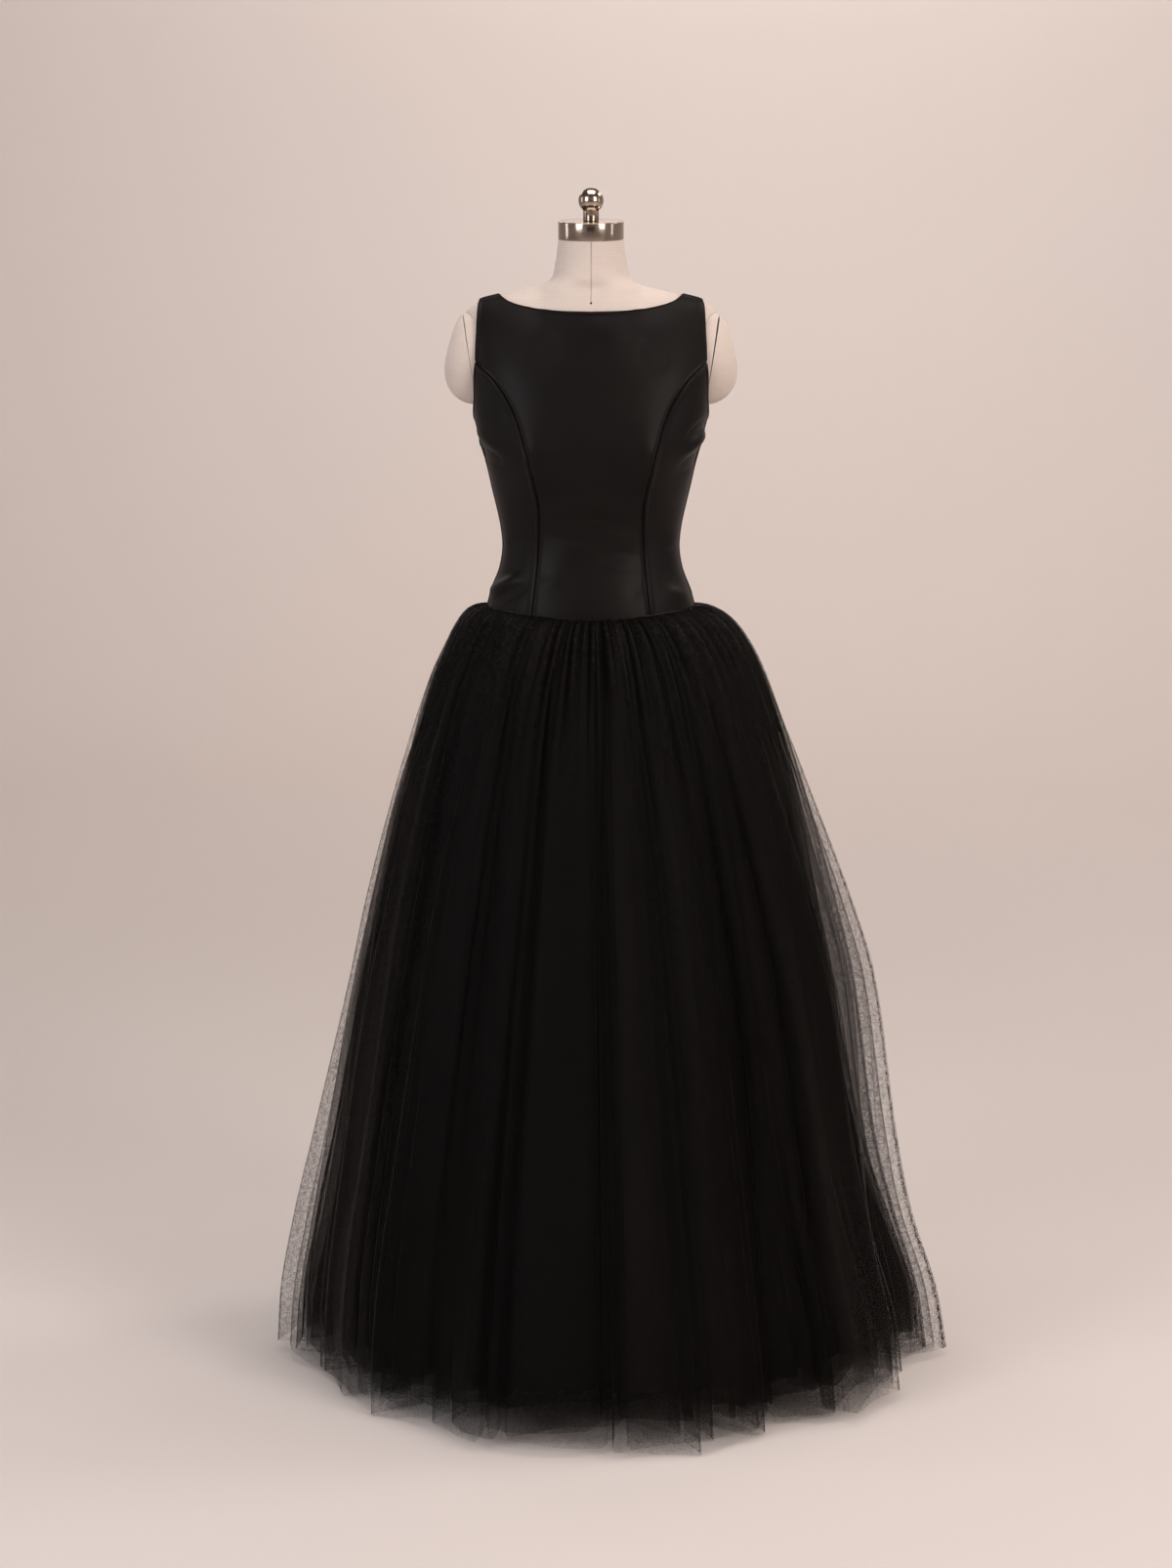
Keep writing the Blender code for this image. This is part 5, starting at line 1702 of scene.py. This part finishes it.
@dataclass(frozen=True)
class NeckFittings:
    """The steel cap on the form's neck and the ball knob on its stem."""

    cap_radius: float = 0.0456
    cap_height: float = 0.0245
    cap_edge: float = 0.0012
    stem_radius: float = 0.011
    stem_height: float = 0.0142
    knob_radius: float = 0.0175
    stem_foot: float = 0.0008
    stem_foot_inset: float = 0.4
    stem_in_ball: float = 0.0004
    edge_steps: int = 6
    ball_steps: int = 40
    inner_ring: float = 0.5
    steps: int = 96

    def turned(self, name: str, profile: list[tuple[float, float]], node: str,
               finish: bpy.types.Material) -> None:
        """Turn a profile about the tilted neck's axis.

        Args:
            name: The piece's name.
            profile: Radius and height, from the top centre to the bottom centre.
            node: The CAD node that it stands for.
            finish: Its steel.
        """
        body = np.array(profile[1:-1])
        points = np.concatenate([turned_points(body, self.steps),
                                 [[0, 0, profile[0][1]], [0, 0, profile[-1][1]]]])
        tilt = np.array(Matrix.Rotation(radians(NECK_TILT), 3, "X"))
        piece = new_piece(name, points @ tilt.T + np.array([0, 0, NECK_TOP]),
                          closed_faces(self.steps, len(body)), sharp=32)
        dress(piece, finish, replaces=(node,))

    def build(self, finish: bpy.types.Material) -> None:
        """Make the cap and the knob.

        Args:
            finish: Their steel.
        """
        low, high, edge = SEAM_GAP, SEAM_GAP + self.cap_height, self.cap_edge
        quarter = np.linspace(pi / 2, 0, self.edge_steps)
        rim = self.cap_radius - edge
        top = [(rim + edge * cos(a), high - edge + edge * sin(a)) for a in quarter]
        bottom = [(rim + edge * cos(a), low + edge - edge * sin(a)) for a in quarter[::-1]]
        inner = rim * self.inner_ring
        cap = [(0.0, high), (inner, high), *top, *bottom, (inner, low), (0.0, low)]
        self.turned("neck_cap_steel", cap, "neck_cap", finish)
        seat = high + SEAM_GAP
        rise = sqrt(self.knob_radius**2 - self.stem_radius**2)
        centre = seat + self.stem_height + rise
        sweep = np.linspace(pi / 2, -pi / 2 + atan2(self.stem_radius, rise), self.ball_steps)
        ball = [(self.knob_radius * cos(a), centre + self.knob_radius * sin(a)) for a in sweep]
        ball[0] = (0.0, centre + self.knob_radius)
        stem = [(self.stem_radius, seat + self.stem_height - self.stem_in_ball),
                (self.stem_radius, seat + self.stem_foot),
                (self.stem_radius - self.stem_foot * self.stem_foot_inset, seat), (0.0, seat)]
        self.turned("neck_knob_steel", [*ball, *stem], "neck_knob", finish)


@dataclass(frozen=True)
class ZipCoil:
    """The invisible zip's coil, sewn behind the two centre-back edges."""

    low: float = 1.078
    high: float = 1.462
    tooth_pitch: float = 0.0012
    tooth: tuple[float, float, float] = (0.0014, 0.0026, 0.0008)
    behind: float = 0.0024
    path_points: int = 90

    def build(self, finish: bpy.types.Material) -> None:
        """Set the teeth out down the centre back.

        Args:
            finish: Their plastic.
        """
        heights = np.linspace(self.low, self.high, self.path_points)
        zero = np.zeros(self.path_points)
        path = np.stack([zero, WORN.half_depth(zero, heights, True), heights], axis=-1)
        outward = WORN.outward(path)
        path = path - outward * self.behind
        teeth = Repeat("zip_coil_teeth", self.tooth_pitch, self.tooth)
        teeth.build([path], [outward], finish, "zip_metal")


@dataclass(frozen=True)
class Softbox:
    """One softbox: where it hangs, what it points at, its width and height, its watts and its colour."""

    name: str
    place: tuple[float, float, float]
    target: tuple[float, float, float]
    size: tuple[float, float]
    power: float
    colour: str

    def hang(self) -> None:
        """Hang it in the scene, out of the camera's sight."""
        data = bpy.data.lights.new(self.name, "AREA")
        data.shape = "RECTANGLE"
        data.size, data.size_y = self.size
        data.energy = self.power
        data.color = linear(self.colour)[:3]
        made = bpy.data.objects.new(self.name, data)
        made.location = self.place
        made.rotation_euler = (Vector(self.target) - Vector(self.place)).to_track_quat("-Z", "Y").to_euler()
        made.visible_camera = False
        bpy.context.scene.collection.objects.link(made)


SOFTBOXES = (
    Softbox("key_softbox", (2.9, -3.7, 2.7), (0, 0, 1.1), (1.7, 3.0), 118, "#FFF4EC"),
    Softbox("fill_softbox", (-3.2, -3.6, 2.6), (0, 0, 1.1), (1.9, 3.0), 98, "#F7F7FC"),
    Softbox("side_softbox_left", (-4.4, 0.3, 2.0), (0, 0, 1.3), (0.6, 2.2), 13, "#F1F3FF"),
    Softbox("side_softbox_right", (4.6, -0.9, 2.0), (0, 0, 1.2), (0.4, 2.2), 8, "#F6F3FA"),
    Softbox("top_softbox", (0.2, -0.5, 5.2), (0.2, -0.6, 0.0), (3.4, 3.0), 124, "#FFF6F1"),
    Softbox("wall_wash", (1.1, 3.9, 5.2), (1.2, 8.4, 3.0), (2.0, 1.0), 60, "#FFF3EC"),
    Softbox("wall_spot", (0.45, 6.3, 4.9), (0.45, 8.4, 2.9), (0.8, 0.5), 74, "#FFF1E9"),
    Softbox("floor_wash", (3.9, 1.4, 4.4), (2.7, 1.2, 0.0), (1.6, 1.6), 66, "#FFF2EA"),
    Softbox("rear_fill_left", (-3.4, 5.4, 4.4), (0, 0, 0.9), (1.6, 1.6), 26, "#FFF6F1"),
    Softbox("rear_fill_right", (3.4, 5.4, 4.4), (0, 0, 0.9), (1.6, 1.6), 26, "#FFF6F1"),
)


@dataclass(frozen=True)
class Studio:
    """The pale sweep, the soft lights and the camera, none of them part of the gown."""

    wall: str = "#DCD6D3"
    floor: str = "#D9D1CD"
    felt: str = "#17120F"
    radius: float = 8.6
    sweep: float = 2.4
    height: float = 7.0
    floor_rings: tuple[float, ...] = (0.0, 1.0, 3.0)
    bend_steps: int = 14
    turn_steps: int = 96
    wall_colour_from: float = 1.6
    room_light: str = "#EFE4DE"
    room_strength: float = 0.12
    lens_mm: float = 86.18
    film_mm: float = 36.0
    eye: tuple[float, float, float] = (-0.0069, -5.251, 1.55)
    eye_down: float = 7.83

    def backdrop(self) -> None:
        """Make the seamless floor and wall, all round, so that every view has the same pale ground."""
        profile = [(ring, 0.0) for ring in (*self.floor_rings, self.radius - self.sweep)]
        for a in np.linspace(0, pi / 2, self.bend_steps)[1:]:
            profile.append((self.radius - self.sweep + self.sweep * sin(a), self.sweep * (1 - cos(a))))
        profile.append((self.radius, self.height))
        steps, rows = self.turn_steps, len(profile) - 1
        points = turned_points(np.array(profile[1:]), steps)
        faces = grid_faces(steps, rows, True)
        points = np.concatenate([points, [[0.0, 0.0, 0.0]]])
        faces += [((i + 1) % steps * rows, i * rows, len(points) - 1) for i in range(steps)]
        inward = points * np.array([-1.0, -1.0, 0.0]) + np.array([0.0, 0.0, 1.0])
        piece = new_piece("studio_sweep", points, faces, inward, sharp=80)
        made, tree, shader = blank_material("studio_paint_matt")
        shader.inputs["Roughness"].default_value = 0.95
        shader.inputs["Specular IOR Level"].default_value = 0.1
        place = add_node(tree, "ShaderNodeTexCoord").outputs["Object"]
        up = add_node(tree, "ShaderNodeSeparateXYZ", None, {0: place}).outputs["Z"]
        share = add_node(tree, "ShaderNodeMapRange", None,
                         {"Value": up, "From Max": self.wall_colour_from}).outputs["Result"]
        tint = add_node(tree, "ShaderNodeMix", {"data_type": "RGBA"},
                        {0: share, 6: linear(self.floor), 7: linear(self.wall)})
        tree.links.new(tint.outputs[2], shader.inputs["Base Color"])
        piece.data.materials.append(made)

    def flag(self, name: str, left: float, right: float, low: float, high: float, y: float) -> None:
        """Hang a black felt flag in front of the gown, for the satin and the steel to mirror.

        Args:
            name: Its name.
            left: Its left edge.
            right: Its right edge.
            low: Its bottom edge.
            high: Its top edge.
            y: Where it hangs, in front of the lens's own stand.
        """
        points = np.array([[left, y, low], [right, y, low], [right, y, high], [left, y, high]])
        piece = new_piece(name, points, [(0, 1, 2, 3)], np.tile([0.0, 1.0, 0.0], (4, 1)))
        made, _, shader = blank_material("black_felt_" + name)
        shader.inputs["Base Color"].default_value = linear(self.felt)
        shader.inputs["Roughness"].default_value = 1.0
        piece.data.materials.append(made)
        piece.visible_camera = False
        piece.visible_shadow = False

    def build(self) -> None:
        """Set the backdrop, the lights, the world and the camera."""
        scene = bpy.context.scene
        self.backdrop()
        self.flag("front_flag", left=-1.15, right=1.05, low=0.98, high=1.42, y=-4.3)
        for softbox in SOFTBOXES:
            softbox.hang()
        world = bpy.data.worlds.new("studio_room")
        world.use_nodes = True
        ground = world.node_tree.nodes["Background"]
        ground.inputs["Color"].default_value = linear(self.room_light)
        ground.inputs["Strength"].default_value = self.room_strength
        scene.world = world
        scene.view_settings.view_transform = "Standard"
        scene.view_settings.look = "None"
        # A ray passes through five nets on its way in and five on its way out, and more where they fold.
        # Two bounces are enough between pale plain walls, and ten softboxes need no light tree.
        scene.cycles.use_light_tree = False
        scene.cycles.transparent_max_bounces = 14
        scene.cycles.max_bounces = 3
        scene.cycles.diffuse_bounces = 2
        scene.cycles.glossy_bounces = 2
        scene.cycles.transmission_bounces = 0
        camera = bpy.data.cameras.new("photo_view")
        camera.lens = self.lens_mm
        camera.sensor_width = self.film_mm
        eye = bpy.data.objects.new("photo_view", camera)
        eye.location = self.eye
        eye.rotation_euler = (radians(90 - self.eye_down), 0, 0)
        scene.collection.objects.link(eye)
        scene.camera = eye


def dress_cad_node(name: str, finish: bpy.types.Material) -> None:
    """Give a CAD node that stays in view its better material.

    Args:
        name: The node.
        finish: Its material.
    """
    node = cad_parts[name]
    for place in node.material_slots:
        place.link = "OBJECT"
        place.material = finish
    LOG.info("%s keeps its own mesh", name)


def main() -> None:
    """Build every sub-assembly in order and report each piece."""
    logging.basicConfig(level=logging.INFO, format="%(name)s: %(message)s")
    satin = DuchesseSatin().material()
    sheer = NylonTulle("nylon_tulle_net_sheer", cover=0.15, edge_cover=0.80, speckle=0.40).material()
    light = NylonTulle("nylon_tulle_net_light", cover=0.24, edge_cover=0.84, speckle=0.12).material()
    dense = NylonTulle("nylon_tulle_net_dense", cover=0.50, edge_cover=0.97).material()
    lining = AcetateLining().material()
    linen = LinenCanvas().material()
    thread = LinenCanvas(colour="#A8968A", shade="#8F7D72").material()
    steel = MetalFinish("stainless_steel_turned_and_polished", Surface.POLISHED, "#B3A598",
                        roughness=0.15).material()
    pole = MetalFinish("chromed_steel_tube", Surface.BRUSHED, "#BDB6B0", roughness=0.22).material()
    enamel = MetalFinish("stove_enamelled_steel_plate", Surface.ENAMELLED, "#26221F",
                         roughness=0.40).material()
    gunmetal = MetalFinish("sheet_steel_arm_plate", Surface.BRUSHED, "#2A2422", roughness=0.35).material()
    zinc = MetalFinish("blackened_zinc_die_cast", Surface.BLACKENED, "#1B1918", roughness=0.38).material()

    Bodice().build(satin)
    for layer, finish in zip(SKIRT_LAYERS, (sheer, light, light, dense, dense, lining)):
        layer.build(finish)
    form = DressForm()
    form.trunk(linen)
    form.arm_cap(1, linen, gunmetal)
    form.arm_cap(-1, linen, gunmetal)
    form.neck_stitches(thread)
    form.eyelet(zinc)
    NeckFittings().build(steel)
    ZipCoil().build(zinc)
    dress_cad_node("stand_pole", pole)
    dress_cad_node("stand_base", enamel)
    dress_cad_node("zip_slider", zinc)
    dress_cad_node("zip_pull", zinc)
    Studio().build()


if __name__ == "__main__":
    main()
